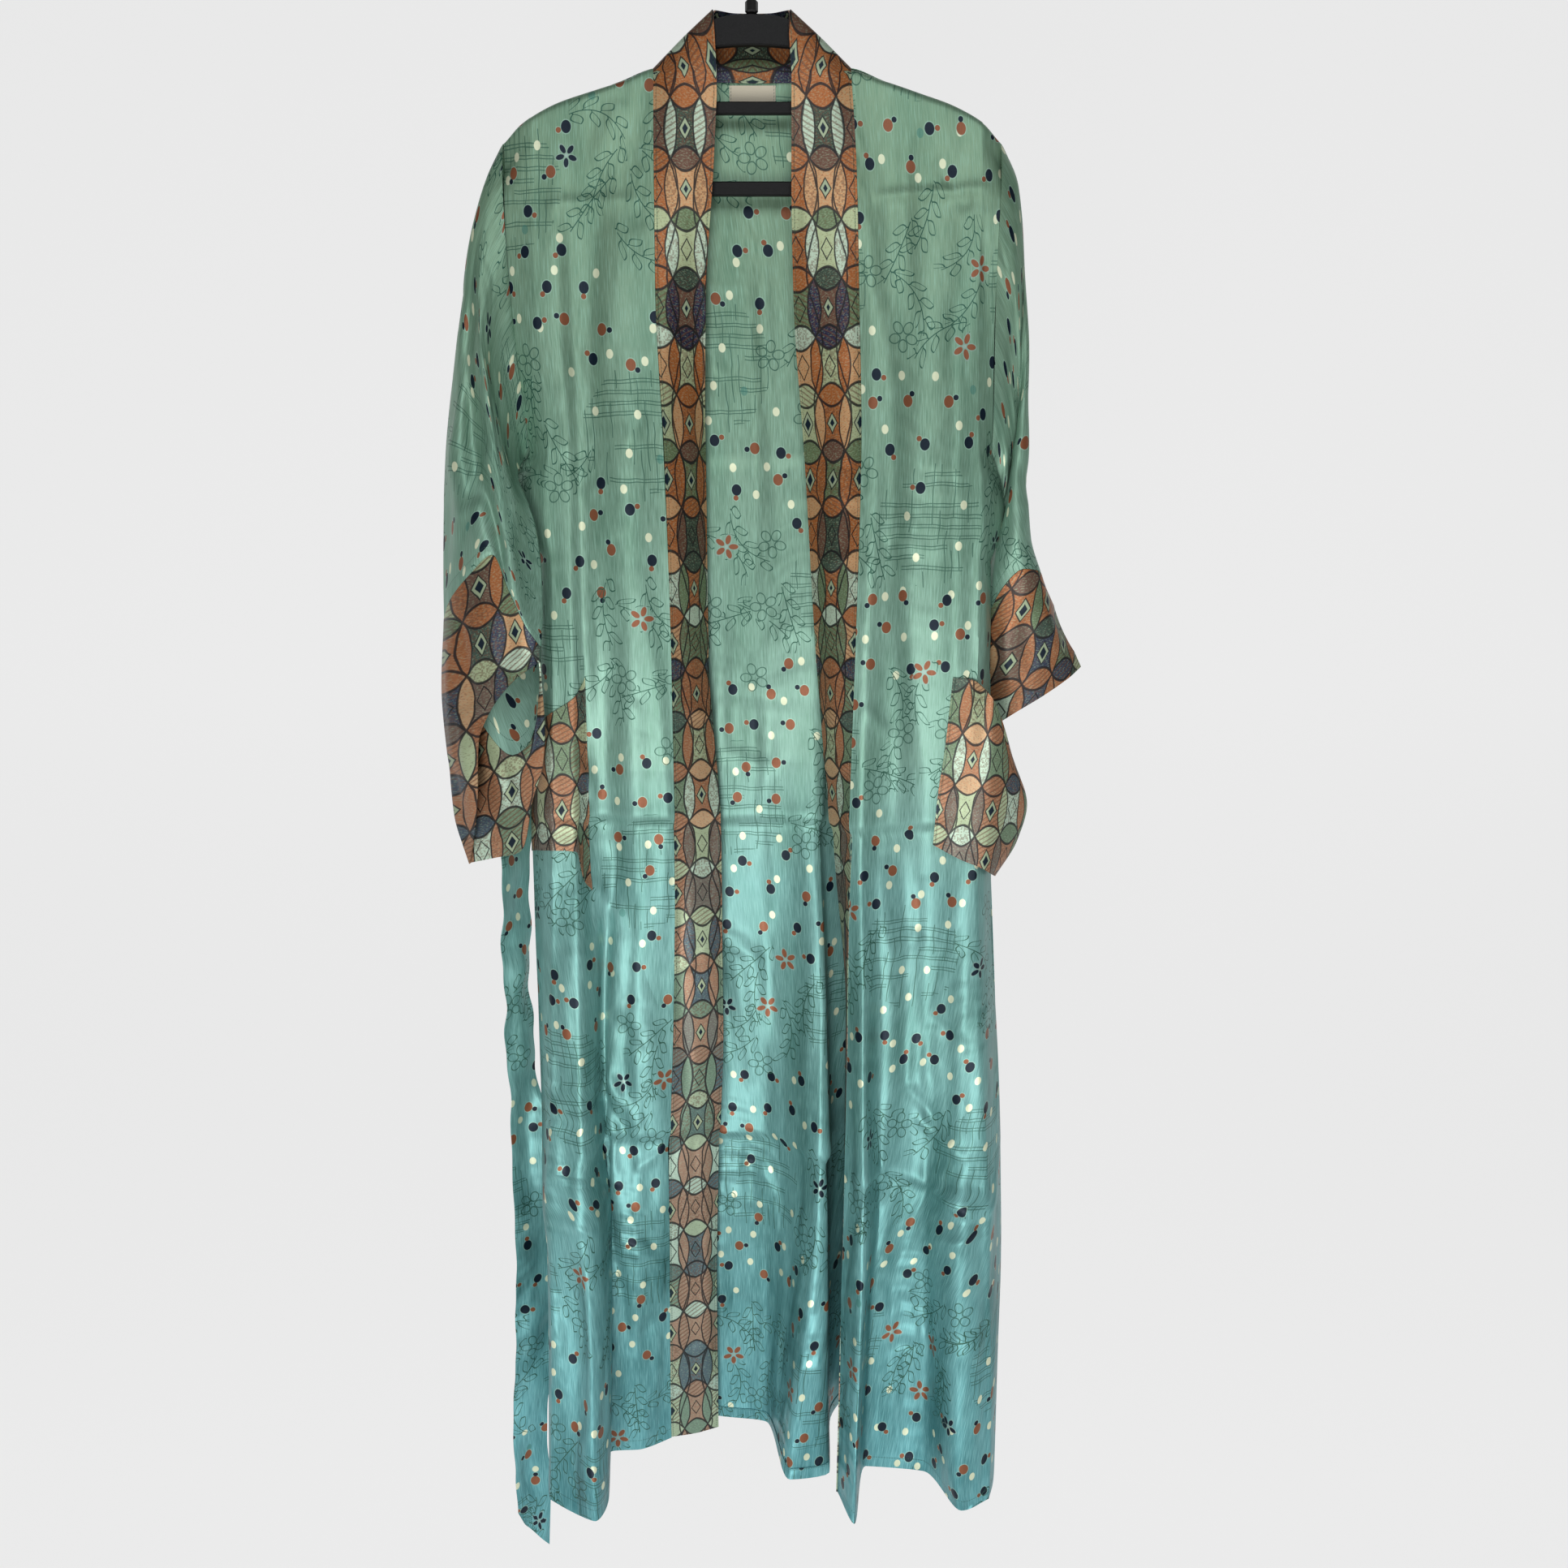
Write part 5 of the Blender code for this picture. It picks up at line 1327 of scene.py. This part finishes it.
def hatch_over(paint, colour, u, v):
    """Sketched clusters: level pairs of lines crossed by short upright ones."""
    scale, reach, spill = HATCH_DRIFT
    drift = paint.noise(u * scale, v * scale) * reach
    level = (v + drift) / HATCH_PITCH[1]
    row = paint.floor(level)
    shift, seed, least = HATCH_ROWS
    runs = paint.hashes(row, paint.floor(u / HATCH_LENGTH + row * shift), seed)
    pair = paint.inside(LINE_HALF, abs(abs(level - row - 0.5) * HATCH_PITCH[1] - HATCH_GAP), LINE_SOFT)
    pair = pair * (runs[0] > least)
    upright = (u + drift) / HATCH_PITCH[0]
    column = paint.floor(upright)
    shift, seed, least = HATCH_COLUMNS
    ticks = paint.hashes(column, paint.floor(v / HATCH_TICK + column * shift), seed)
    tick = paint.inside(LINE_HALF, abs(upright - column - 0.5) * HATCH_PITCH[0], LINE_SOFT)
    tick = tick * (ticks[0] > least)
    shown = patch(paint, (u, v + drift * spill), *HATCH_PATCH)
    return paint.over(paint.either(pair, tick) * shown * HATCH_STRENGTH, colour, LINE_GREEN)


def stitches(paint, colour, along, away, place):
    """A row of fine stitches at one distance from an edge: the colour and the dents' height."""
    row = paint.inside(STITCH_HALF, abs(away - place), STITCH_SOFT)
    thread = row * (paint.fract(along / STITCH_PITCH) < STITCH_LONG)
    return paint.over(thread * STITCH_STRENGTH, colour, LINE_GREEN), row


def fall(paint, height, start, rate):
    """Nought above a height, then rising to one below it at a rate a metre."""
    return paint.clamped((height + start) * -rate)


def rumple(paint, u, v, height):
    """The satin's small rumples, in metres, stronger towards the hem: mostly upright, some level."""
    across, shift, down = RUMPLE_BROAD
    bent = paint.noise(u * across + shift, v * down, 1.0)
    across, warp, down, detail = RUMPLE_UPRIGHT
    upright = paint.noise(u * across + bent * warp, v * down + bent, detail)
    across, down, warp = RUMPLE_LEVEL
    level = paint.noise(u * across - bent, v * down + bent * warp, 1.0)
    gain, less = RUMPLE_PLACES
    level = level * paint.clamped(bent * gain, less)
    start, rate, least = RUMPLE_FALL
    share = fall(paint, height, start, rate) + least
    return (bent * RUMPLE[0] + upright * RUMPLE[1] + level * RUMPLE[2]) * share


def satin(paint, colour, streak, dent, rise, sheen):
    """The surface that both satins have: a streaked sheen, with rumples, streaks and stitches in relief."""
    rise = rise + streak * STREAK_DEPTH - dent * STITCH_DEPTH
    roughness, metallic = sheen
    values = {"Base Color": colour, "Roughness": streak * ROUGH_SWING + roughness, "Metallic": metallic,
              "Specular IOR Level": 0.3, "IOR": 1.5}
    return paint.finish(values, rise)


def body_satin(settings):
    """Printed satin: its ground colour changes from the shoulders to the hem, partly in its own hue and
    partly as painted light, and its clouds and streaks carry painted shade and painted sheen.
    """
    if "printed_satin" in bpy.data.materials:
        return bpy.data.materials["printed_satin"]
    paint = Paint("printed_satin")
    u, v = paint.lengths("cloth")
    height = paint.axis(paint.place(), 2)
    streak = paint.noise(u * STREAKS[0], v * STREAKS[1])
    shade_cloud = paint.noise(u * SHADE_CLOUDS[0], v * SHADE_CLOUDS[1])
    # Partly painted light: the ground grows brighter from the shoulders to the hips and a little darker again
    # to the hem, besides the satin's own change of hue
    middle = fall(paint, height, *MIDDLE_FALL)
    colour = paint.over(middle, pick(settings, "top"), pick(settings, "middle"))
    (first, quick, share), (second, slow, rest) = HEM_FALLS
    hem = fall(paint, height, first, quick) * share
    hem = hem + fall(paint, height, second, slow) * rest
    colour = paint.over(hem, colour, pick(settings, "hem"))
    # Painted shade: the clouds, stronger towards the hem, and the dark streaks darken the ground to the
    # satin's shade colours
    deep = paint.over(hem, GROUND_PAINTED_SHADE, HEM_PAINTED_SHADE)
    level, gain, more = SHADE_CLOUD_GAIN
    colour = paint.over(paint.clamped((shade_cloud - level) * (gain + hem * more)), colour, deep)
    colour = paint.over(paint.clamped((SHADE_STREAK_GAIN[0] - streak) * SHADE_STREAK_GAIN[1]), colour, deep)
    # Painted sheen: the pale streaks lighten the ground to the satin's highlight colours
    painted_sheen = paint.over(hem, GROUND_PAINTED_SHEEN, HEM_PAINTED_SHEEN)
    colour = paint.over(paint.clamped((streak - SHEEN_STREAK_GAIN[0]) * SHEEN_STREAK_GAIN[1]), colour, painted_sheen)
    for motifs_over in (hatch_over, dots_over, flowers_over):
        colour = motifs_over(paint, colour, u, v)
    above = paint.lengths("seam")[1]
    colour, dent = stitches(paint, colour, u, above, settings.turn_up - HEM_STITCH)
    return satin(paint, colour, streak, dent, rumple(paint, u, v, height), BODY_SHEEN)


def contrast_satin():
    """The second satin, of the band, cuffs and pockets: overlapping ovals in two mirrored rows."""
    if "contrast_print" in bpy.data.materials:
        return bpy.data.materials["contrast_print"]
    paint = Paint("contrast_print")
    u, v = paint.lengths("cloth")
    scale, reach = OVAL_DRIFT
    drift = paint.noise(u * scale, v * scale) * reach
    place = paint.vector((abs(u - OVAL_MIRROR) + drift) / OVAL_CELL[0], (v + drift) / OVAL_CELL[1])
    cell = paint.vectors("FLOOR", place)
    local = paint.vectors("FRACTION", place)
    count = 0
    total = None
    edge = None
    for corner_place in ((0, 0, 0), (1, 0, 0), (0, 1, 0), (1, 1, 0)):
        away = paint.vectors("DISTANCE", local, corner_place, output=1)
        covers = away < OVAL_REACH
        step = abs(away - OVAL_REACH)
        part = paint.vectors("SCALE", corner_place, covers)
        edge = step if edge is None else paint.maths("MINIMUM", edge, step)
        total = part if total is None else paint.vectors("ADD", total, part)
        count = count + covers
    centre = paint.vectors("SCALE", total, 1 / count)
    centre = paint.vectors("ADD", cell, centre)
    height = paint.axis(paint.place(), 2)
    kind, second, third = paint.hashes(paint.axis(centre, 0), paint.axis(centre, 1), OVAL_SEED)
    colour = paint.steps(kind, OVAL_COLOURS)
    *ways, detail = BRUSH
    brush = paint.noise(u * ways[0] + v * ways[1], v * ways[2] - u * ways[3], detail)
    colour = paint.over(paint.clamped((brush - BRUSH_PALE[0]) * BRUSH_PALE[1]), colour, OVAL_PALE)
    colour = paint.over(paint.clamped((BRUSH_DARK[0] - brush) * BRUSH_DARK[1]), colour, BROWN)
    start, rate, share = COOL_FALL
    colour = paint.over(fall(paint, height, start, rate) * share, colour, OVAL_COOL)
    speck = paint.hashes(paint.floor(u / SPECK), paint.floor(v / SPECK), SPECK_SEED)[0]
    least, most, strength = SPECK_PARTS
    colour = paint.over((speck > least) * (second < most) * strength, colour, BROWN)
    slant, bend, part, least, strength = STROKE_PARTS
    stroke = paint.fract(v / STROKE_PITCH + u / STROKE_PITCH * slant + drift * bend) < part
    colour = paint.over(stroke * (second > least) * strength, colour, BROWN)
    kite = abs(abs(paint.axis(local, 0) - 0.5) - 0.5) + abs(abs(paint.axis(local, 1) - 0.5) - 0.5)
    outer, inner, soft = KITE
    colour = paint.over(paint.inside(outer, kite, soft) * (third < KITE_BELOW), colour, OVAL_PALE)
    colour = paint.over(paint.inside(inner, kite, soft) * (third < KITE_BELOW), colour, NAVY)
    half, soft = KITE_LINE
    line = paint.either(paint.inside(OVAL_LINE[0], edge, OVAL_LINE[1]),
                        paint.inside(half, abs(kite - outer), soft))
    wave = paint.maths("SINE", v * VINE[0]) * VINE[1] + VINE[2]
    vine = paint.inside(VINE_LINE[0], abs(abs(u - OVAL_MIRROR) + drift - wave), VINE_LINE[1])
    line = paint.either(line, vine)
    colour = paint.over(line * INK_STRENGTH, colour, NEAR_BLACK)
    away = paint.lengths("seam")[0]
    colour, dent = stitches(paint, colour, v, away, BAND_STITCH)
    streak = paint.noise(u * BAND_STREAKS[0], v * BAND_STREAKS[1])
    shift, share = BAND_RUMPLE
    return satin(paint, colour, streak, dent, rumple(paint, u + shift, v, height) * share, BAND_SHEEN)


def label_tape():
    """A bare woven tape, stitched along its edges."""
    paint = Paint("woven_tape")
    u, v = paint.lengths("cloth")
    across, down, swing, depth = WEAVE
    weave = paint.maths("SINE", u * across) * paint.maths("SINE", v * down)
    away = paint.lengths("seam")[0]
    colour = paint.over(weave * swing + swing, TAPE, BROWN)
    colour, _ = stitches(paint, colour, u + v, away, LABEL_STITCH)
    return paint.finish({"Base Color": colour, "Roughness": 0.62}, weave, depth)


def black_plastic():
    paint = Paint("black_plastic")
    scale, swing, middle, depth = PLASTIC_GRAIN
    grain = paint.grain(paint.place(), scale)
    values = {"Base Color": (*PLASTIC_BLACK, 1), "Roughness": grain * swing + middle,
              "Specular IOR Level": 0.2}
    return paint.finish(values, grain, depth)


def bright_steel():
    """Bright wire above the hanger's arch, and black plastic below its top."""
    paint = Paint("bright_steel")
    place = paint.place()
    scale, swing, middle, depth = STEEL_GRAIN
    grain = paint.grain(place, scale)
    wire = paint.axis(place, 2) > COLLAR_TOP
    colour = paint.over(wire, PLASTIC_BLACK, STEEL)
    values = {"Base Color": colour, "Metallic": wire * 1.0,
              "Roughness": wire * WIRE_SMOOTH + grain * swing + middle}
    return paint.finish(values, grain, depth)


def paper_material(colour, glow):
    paint = Paint("backdrop_paper")
    scale, swing, middle, detail = PAPER_GRAIN
    grain = paint.grain(paint.place(), scale, detail)
    values = {"Base Color": (*colour, 1), "Roughness": grain * swing + middle, "Emission Color": (*glow, 1),
              "Emission Strength": 1.0}
    return paint.finish(values)


def pick(settings, name):
    return tuple(getattr(settings, name))


class RobeClothSettings(bpy.types.PropertyGroup):
    """Sizes of the cloth and its base colours"""
    wall: bpy.props.FloatProperty(
        name="Cloth thickness", description="Thickness of one layer of satin", default=0.0006, unit="LENGTH")
    doubled: bpy.props.FloatProperty(
        name="Doubled thickness", description="Thickness of the folded band, cuffs and belt", default=0.0011,
        unit="LENGTH")
    crease: bpy.props.FloatProperty(
        name="Crease height", description="How deep the creases are, against their tables", default=1.9,
        min=0, max=3)
    unevenness: bpy.props.FloatProperty(
        name="Unevenness", description="Height of the long shallow waves", default=0.0024, unit="LENGTH")
    turn_up: bpy.props.FloatProperty(
        name="Hem turn-up", description="Depth of the stitched hem", default=0.0115, unit="LENGTH")
    # The ground colours are partly the satin's own ombre and partly painted light: the middle is painted
    # brighter where the light is strongest, at the hips, and the hem a little darker
    top: bpy.props.FloatVectorProperty(
        name="Shoulder colour", description="Satin colour at the shoulders", subtype="COLOR",
        default=(0.190, 0.305, 0.205), min=0, max=1)
    middle: bpy.props.FloatVectorProperty(
        name="Middle colour", description="Satin colour at the hips", subtype="COLOR",
        default=(0.200, 0.355, 0.300), min=0, max=1)
    hem: bpy.props.FloatVectorProperty(
        name="Hem colour", description="Satin colour at the hem", subtype="COLOR",
        default=(0.122, 0.345, 0.375), min=0, max=1)


class RobeStageSettings(bpy.types.PropertyGroup):
    """The camera, the lights and the backdrop"""
    camera_place: bpy.props.FloatVectorProperty(
        name="Camera place", description="Where the camera stands", subtype="TRANSLATION",
        default=(0.026, -1.052, -0.492))
    camera_pitch: bpy.props.FloatProperty(
        name="Camera pitch", description="How far the camera looks down", default=math.radians(12.14),
        subtype="ANGLE")
    lens: bpy.props.FloatProperty(
        name="Lens", description="Focal length on a 36 mm sensor", default=27.018)
    backdrop: bpy.props.FloatVectorProperty(
        name="Backdrop colour", description="Colour of the floor and backdrop", subtype="COLOR",
        default=(0.14, 0.14, 0.14), min=0, max=1)
    floor: bpy.props.FloatProperty(
        name="Floor height", description="Height of the floor", default=-2.35, unit="LENGTH")
    glow: bpy.props.FloatVectorProperty(
        name="Backdrop glow", description="Light that the backdrop gives of itself", subtype="COLOR",
        default=(0.75, 0.75, 0.75), min=0, max=1)
    key: bpy.props.FloatProperty(
        name="Key light", description="Power of the main light", default=18.0, unit="POWER")
    fill: bpy.props.FloatProperty(
        name="Fill light", description="Power of the fill light", default=20.0, unit="POWER")
    room: bpy.props.FloatProperty(
        name="Room light", description="Strength of the light all round", default=0.08)


# The nodes that the back's one sheet stands for
BACK_NODES = ("back_upper", "back_middle", "back_lower")

# How far each printed piece's cloth starts from the print's own start, across and down, in millimetres
PRINT_OFFSETS = {
    "front_right": (0, 0), "front_left": (14, 120), "back": (37, 60), "sleeve_right": (9, 40),
    "sleeve_left": (22, 90), "belt": (3, 17), "loop": (5, 9),
}


def finish_sheet(made, name):
    """Puts a finished sheet in the frame: it joins its body, and the nodes it stands for are hidden."""
    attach(made, "root")
    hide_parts(*(BACK_NODES if name == "back" else (name,)))


def strip_uv(grid, name):
    """A sleeve's, belt's or loop's UV: its lengths across and down, moved by the print's offset."""
    across, down = PRINT_OFFSETS[name]
    return arc_across(grid, 0) + across * MM, arc_down(grid) + down * MM


def add_strip(name, grid, thick, paint, held=None, down=None):
    """A plain piece: its print follows its own lengths, and its stitches its own edges."""
    across = arc_across(grid, 0)
    down = arc_down(grid) if down is None else down
    seam = edge_distances(across, down, down[:, -1:])
    made = make_sheet(name + "_cloth", grid if held is None else held, thick, paint, (across, down), seam)
    finish_sheet(made, name)


def panel_uv(grid, zero, offset):
    """A body panel's UV: its length across from one column and its height, moved by the print's offset."""
    return arc_across(grid, zero) + offset[0] * MM, -grid[:, :, 2] + offset[1] * MM


def turn_up_grid(grid, depth, rows, gap):
    """The turned-up hem of a panel, one layer inside it."""
    way = toward_front(grid)
    inside = grid - way * gap if grid[:, :, 1].mean() < 0 else grid + way * gap
    lines = []
    for column in inside:
        z = np.linspace(column[-1, 2] + depth, column[-1, 2], rows)
        lines.append(column_at(column, z))
    return np.array(lines)


def add_panel(name, grid, zero, paint, settings):
    """A body panel with its turned-up hem."""
    across, down = PRINT_OFFSETS[name]
    strip = turn_up_grid(grid, settings.turn_up, TURN_UP_ROWS, settings.wall * TURN_UP_PITCH)
    made = []
    for label, sheet, offset in (("_cloth", grid, (across, down)),
                                 ("_hem", strip, (across + HEM_OFFSET, -down))):
        uv = panel_uv(sheet, zero, offset)
        seam = edge_distances(arc_across(sheet, 0), -sheet[:, :, 2], -sheet[:, -1:, 2])
        made.append(make_sheet(name + label, sheet, settings.wall, paint, uv, seam))
    cloth, hem = made
    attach(hem, "root")
    finish_sheet(cloth, name)


def folded(grid, creases, steps, settings):
    """The sheet with its creases and with the lines it was stored folded on."""
    return stepped(creased(grid, creases, settings.crease), steps, settings.crease)


def build_fronts_and_back(settings):
    """The two fronts and the back, which share one print."""
    paint = body_satin(settings)
    for side, name, creases in ((-1, "front_right", CREASES_FRONT_RIGHT),
                                (1, "front_left", CREASES_FRONT_LEFT)):
        grid = uneven(eased(front_grid(side), [side]), settings.unevenness, side)
        zero = len(grid) - 1 if side < 0 else 0
        add_panel(name, folded(grid, creases, STORED_FOLDS[side], settings), zero, paint, settings)
    grid = uneven(eased(back_grid(), [-1, 1]), settings.unevenness, BACK_SEED)
    add_panel("back", folded(grid, CREASES_BACK, STORED_FOLDS[0], settings), len(grid) // 2, paint, settings)


def add_tube(name, ring, creases, settings, thick, paint, uv):
    """A sleeve or a cuff: its creases fade out at both of its ends."""
    held = creased(ring, creases, settings.crease, ring=True)
    fade = np.sin(np.linspace(0, math.pi, ring.shape[1])) ** RING_FADE
    held = ring + (held - ring) * fade[None, :, None]
    down = arc_down(closed(ring))
    seam = (np.full(down.shape, FAR_AWAY), down[:, -1:] - down)
    made = make_sheet(name + "_cloth", held, thick, paint, uv, seam, ring=True)
    finish_sheet(made, name)


class ROBE_OT_body(bpy.types.Operator):
    """Builds the two fronts and the back"""
    bl_idname = "robe.body"
    bl_label = "Fronts and back"

    def execute(self, context):
        build_fronts_and_back(context.scene.robe_cloth)
        return {"FINISHED"}


class ROBE_OT_sleeves(bpy.types.Operator):
    """Builds the two sleeves and their cuffs"""
    bl_idname = "robe.sleeves"
    bl_label = "Sleeves and cuffs"

    def execute(self, context):
        settings = context.scene.robe_cloth
        for side, name, lines, creases, hems, cuff_creases in (
                (-1, "right", SLEEVE_RIGHT, CREASES_SLEEVE_RIGHT, CUFF_RIGHT, CREASES_CUFF_RIGHT),
                (1, "left", SLEEVE_LEFT, CREASES_SLEEVE_LEFT, CUFF_LEFT, CREASES_CUFF_LEFT)):
            sleeve, cuff = "sleeve_" + name, "cuff_" + name
            tube = sleeve_ring(side, lines, SLEEVE_POINTS, SLEEVE_ROWS)
            add_tube(sleeve, tube, creases, settings, settings.wall, body_satin(settings),
                     strip_uv(closed(tube), sleeve))
            ring = cuff_ring(hems, tube)
            x, y, z = np.moveaxis(closed(ring), 2, 0)
            add_tube(cuff, ring, cuff_creases, settings, settings.doubled, contrast_satin(),
                     (x + y * CUFF_DEPTH, x * CUFF_LEAN - z))
        return {"FINISHED"}


class ROBE_OT_bands(bpy.types.Operator):
    """Builds the front band, one half on each side"""
    bl_idname = "robe.bands"
    bl_label = "Front band"

    def execute(self, context):
        settings = context.scene.robe_cloth
        for side, name, creases in ((-1, "right", CREASES_BAND_RIGHT), (1, "left", CREASES_BAND_LEFT)):
            grid = band_grid(side, front_grid(side))
            held = folded(grid, creases, STORED_FOLDS[side], settings)
            add_strip("front_band_" + name, grid, settings.doubled, contrast_satin(),
                      held=held)
        return {"FINISHED"}


class ROBE_OT_pockets(bpy.types.Operator):
    """Builds the two patch pockets"""
    bl_idname = "robe.pockets"
    bl_label = "Pockets"

    def execute(self, context):
        settings = context.scene.robe_cloth
        front = uneven(front_grid(-1), settings.unevenness, -1)
        front = folded(front, CREASES_FRONT_RIGHT, STORED_FOLDS[-1], settings)
        for name, grid in (("right", pocket_right_grid(front)), ("left", pocket_left_grid())):
            add_strip("pocket_" + name, grid, settings.doubled, contrast_satin(),
                      down=-grid[:, :, 2])
        return {"FINISHED"}


class ROBE_OT_belt(bpy.types.Operator):
    """Builds the belt and its two loops"""
    bl_idname = "robe.belt"
    bl_label = "Belt and loops"

    def execute(self, context):
        settings = context.scene.robe_cloth
        paint = body_satin(settings)
        grid = smooth([0, 1, 2], belt_grid(), np.linspace(0, 2, BELT_COLUMNS))
        across, reach = arc_across(grid, 0), arc_down(grid)
        held = grid + normals(grid, False) * belt_crinkle(across, reach, settings.crease)[..., None]
        seam = (np.minimum(across, across[-1:] - across), np.full(grid.shape[:2], FAR_AWAY))
        made = make_sheet("belt_cloth", held, settings.doubled, paint, strip_uv(grid, "belt"), seam)
        finish_sheet(made, "belt")
        back = back_grid()
        for side, x_middle in LOOP_PLACES.items():
            name = "belt_loop_" + side
            grid = loop_grid(x_middle, back)
            seam = edge_distances(arc_across(grid, 0), arc_down(grid), FAR_AWAY)
            made = make_sheet(name + "_cloth", grid, settings.wall, paint, strip_uv(grid, "loop"), seam)
            finish_sheet(made, name)
        return {"FINISHED"}


def belt_crinkle(across, reach, amount):
    """The belt's soft crinkles: short slanted waves, and a fold line that comes and goes."""
    drift = sum(np.sin(reach * rate + shift) * swing for rate, shift, swing in BELT_DRIFT)
    wave = sum(np.sin(reach * down + across * aside + drift) * height for down, aside, height in BELT_WAVES)
    rate, shift, height = BELT_FOLD
    wave += np.sin(reach * rate + shift) * np.cos(across / BELT_WIDTH * math.pi * 2) * height
    return wave * amount


class ROBE_OT_label(bpy.types.Operator):
    """Builds the bare neck label"""
    bl_idname = "robe.label"
    bl_label = "Neck label"

    def execute(self, context):
        settings = context.scene.robe_cloth
        add_strip("neck_label", label_grid(back_grid()), settings.wall, label_tape())
        return {"FINISHED"}


class ROBE_OT_hanger(bpy.types.Operator):
    """Gives the hanger its plastic and its steel"""
    bl_idname = "robe.hanger"
    bl_label = "Hanger"

    def execute(self, context):
        plastic, steel = black_plastic(), bright_steel()
        for name in ("hanger_frame", "hanger_bar_upper", "hanger_bar_lower", "hanger_hook"):
            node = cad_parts[name]
            node.data.materials.clear()
            node.data.materials.append(steel if name == "hanger_hook" else plastic)
        return {"FINISHED"}


def light(name, power):
    """Adds one of the stage's area lights, turned to what it looks at."""
    place, target, size, colour = LIGHTS[name]
    bpy.ops.object.select_all(action="DESELECT")
    bpy.ops.object.light_add(type="AREA", location=place)
    made = bpy.context.object
    made.name = name
    made.data.shape = "RECTANGLE"
    made.data.size, made.data.size_y = size
    made.data.energy = power
    made.data.color = colour
    made.data.spread = math.pi
    way = Vector(target) - Vector(place)
    made.rotation_euler = way.to_track_quat("-Z", "Y").to_euler()


class ROBE_OT_stage(bpy.types.Operator):
    """Builds the floor, the backdrop, the lights and the camera"""
    bl_idname = "robe.stage"
    bl_label = "Stage"

    def execute(self, context):
        settings = context.scene.robe_stage
        scene = context.scene
        paper = paper_material(pick(settings, "backdrop"), pick(settings, "glow"))
        bpy.ops.object.select_all(action="DESELECT")
        bpy.ops.mesh.primitive_plane_add(size=1, location=(0, 0, 0))
        backdrop = context.object
        backdrop.name = "backdrop"
        bend = [(FLOOR_FRONT, settings.floor), (BEND_START, settings.floor)]
        for turn in np.linspace(0, math.pi / 2, BEND_POINTS)[1:]:
            rise = BEND_RADIUS * (1 - math.cos(turn))
            bend.append((BEND_START + BEND_RADIUS * math.sin(turn), settings.floor + rise))
        bend.append((BEND_START + BEND_RADIUS, WALL_TOP))
        points = [(x, y, z) for y, z in bend for x in (-WALL_HALF, WALL_HALF)]
        faces = [(k, k + 1, k + 3, k + 2) for k in range(0, len(points) - 2, 2)]
        backdrop.data.clear_geometry()
        backdrop.data.from_pydata(points, [], faces)
        backdrop.data.materials.append(paper)
        bpy.ops.object.shade_smooth()
        light("key", settings.key)
        light("fill", settings.fill)
        world = bpy.data.worlds.new("room")
        world.use_nodes = True
        sky = world.node_tree.nodes["Background"]
        sky.inputs["Color"].default_value = (1.0, 1.0, 1.0, 1)
        sky.inputs["Strength"].default_value = settings.room
        scene.world = world
        scene.view_settings.view_transform = "Standard"
        bpy.ops.object.select_all(action="DESELECT")
        bpy.ops.object.camera_add(location=pick(settings, "camera_place"),
                                  rotation=(math.pi / 2 - settings.camera_pitch, 0, 0))
        camera = context.object
        camera.data.lens = settings.lens
        camera.data.sensor_width = SENSOR
        camera.data.clip_start = NEAREST
        scene.camera = camera
        return {"FINISHED"}


OPERATORS = (ROBE_OT_body, ROBE_OT_sleeves, ROBE_OT_bands, ROBE_OT_pockets, ROBE_OT_belt, ROBE_OT_label,
             ROBE_OT_hanger, ROBE_OT_stage)


class ROBE_PT_panel(bpy.types.Panel):
    """Buttons and settings of the robe"""
    bl_idname = "ROBE_PT_panel"
    bl_label = "Kimono robe"
    bl_space_type = "VIEW_3D"
    bl_region_type = "UI"
    bl_category = "Robe"

    def draw(self, context):
        for operator in OPERATORS:
            self.layout.operator(operator.bl_idname)
        for settings in (context.scene.robe_cloth, context.scene.robe_stage):
            for name in settings.__annotations__:
                self.layout.prop(settings, name)


CLASSES = (RobeClothSettings, RobeStageSettings) + OPERATORS + (ROBE_PT_panel,)


def register():
    for made in CLASSES:
        bpy.utils.register_class(made)
    bpy.types.Scene.robe_cloth = bpy.props.PointerProperty(type=RobeClothSettings)
    bpy.types.Scene.robe_stage = bpy.props.PointerProperty(type=RobeStageSettings)


def unregister():
    del bpy.types.Scene.robe_stage
    del bpy.types.Scene.robe_cloth
    for made in reversed(CLASSES):
        bpy.utils.unregister_class(made)


def main():
    register()
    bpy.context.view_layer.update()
    bpy.ops.robe.body()
    bpy.ops.robe.sleeves()
    bpy.ops.robe.bands()
    bpy.ops.robe.pockets()
    bpy.ops.robe.belt()
    bpy.ops.robe.label()
    bpy.ops.robe.hanger()
    bpy.ops.robe.stage()


if __name__ == "__main__":
    main()
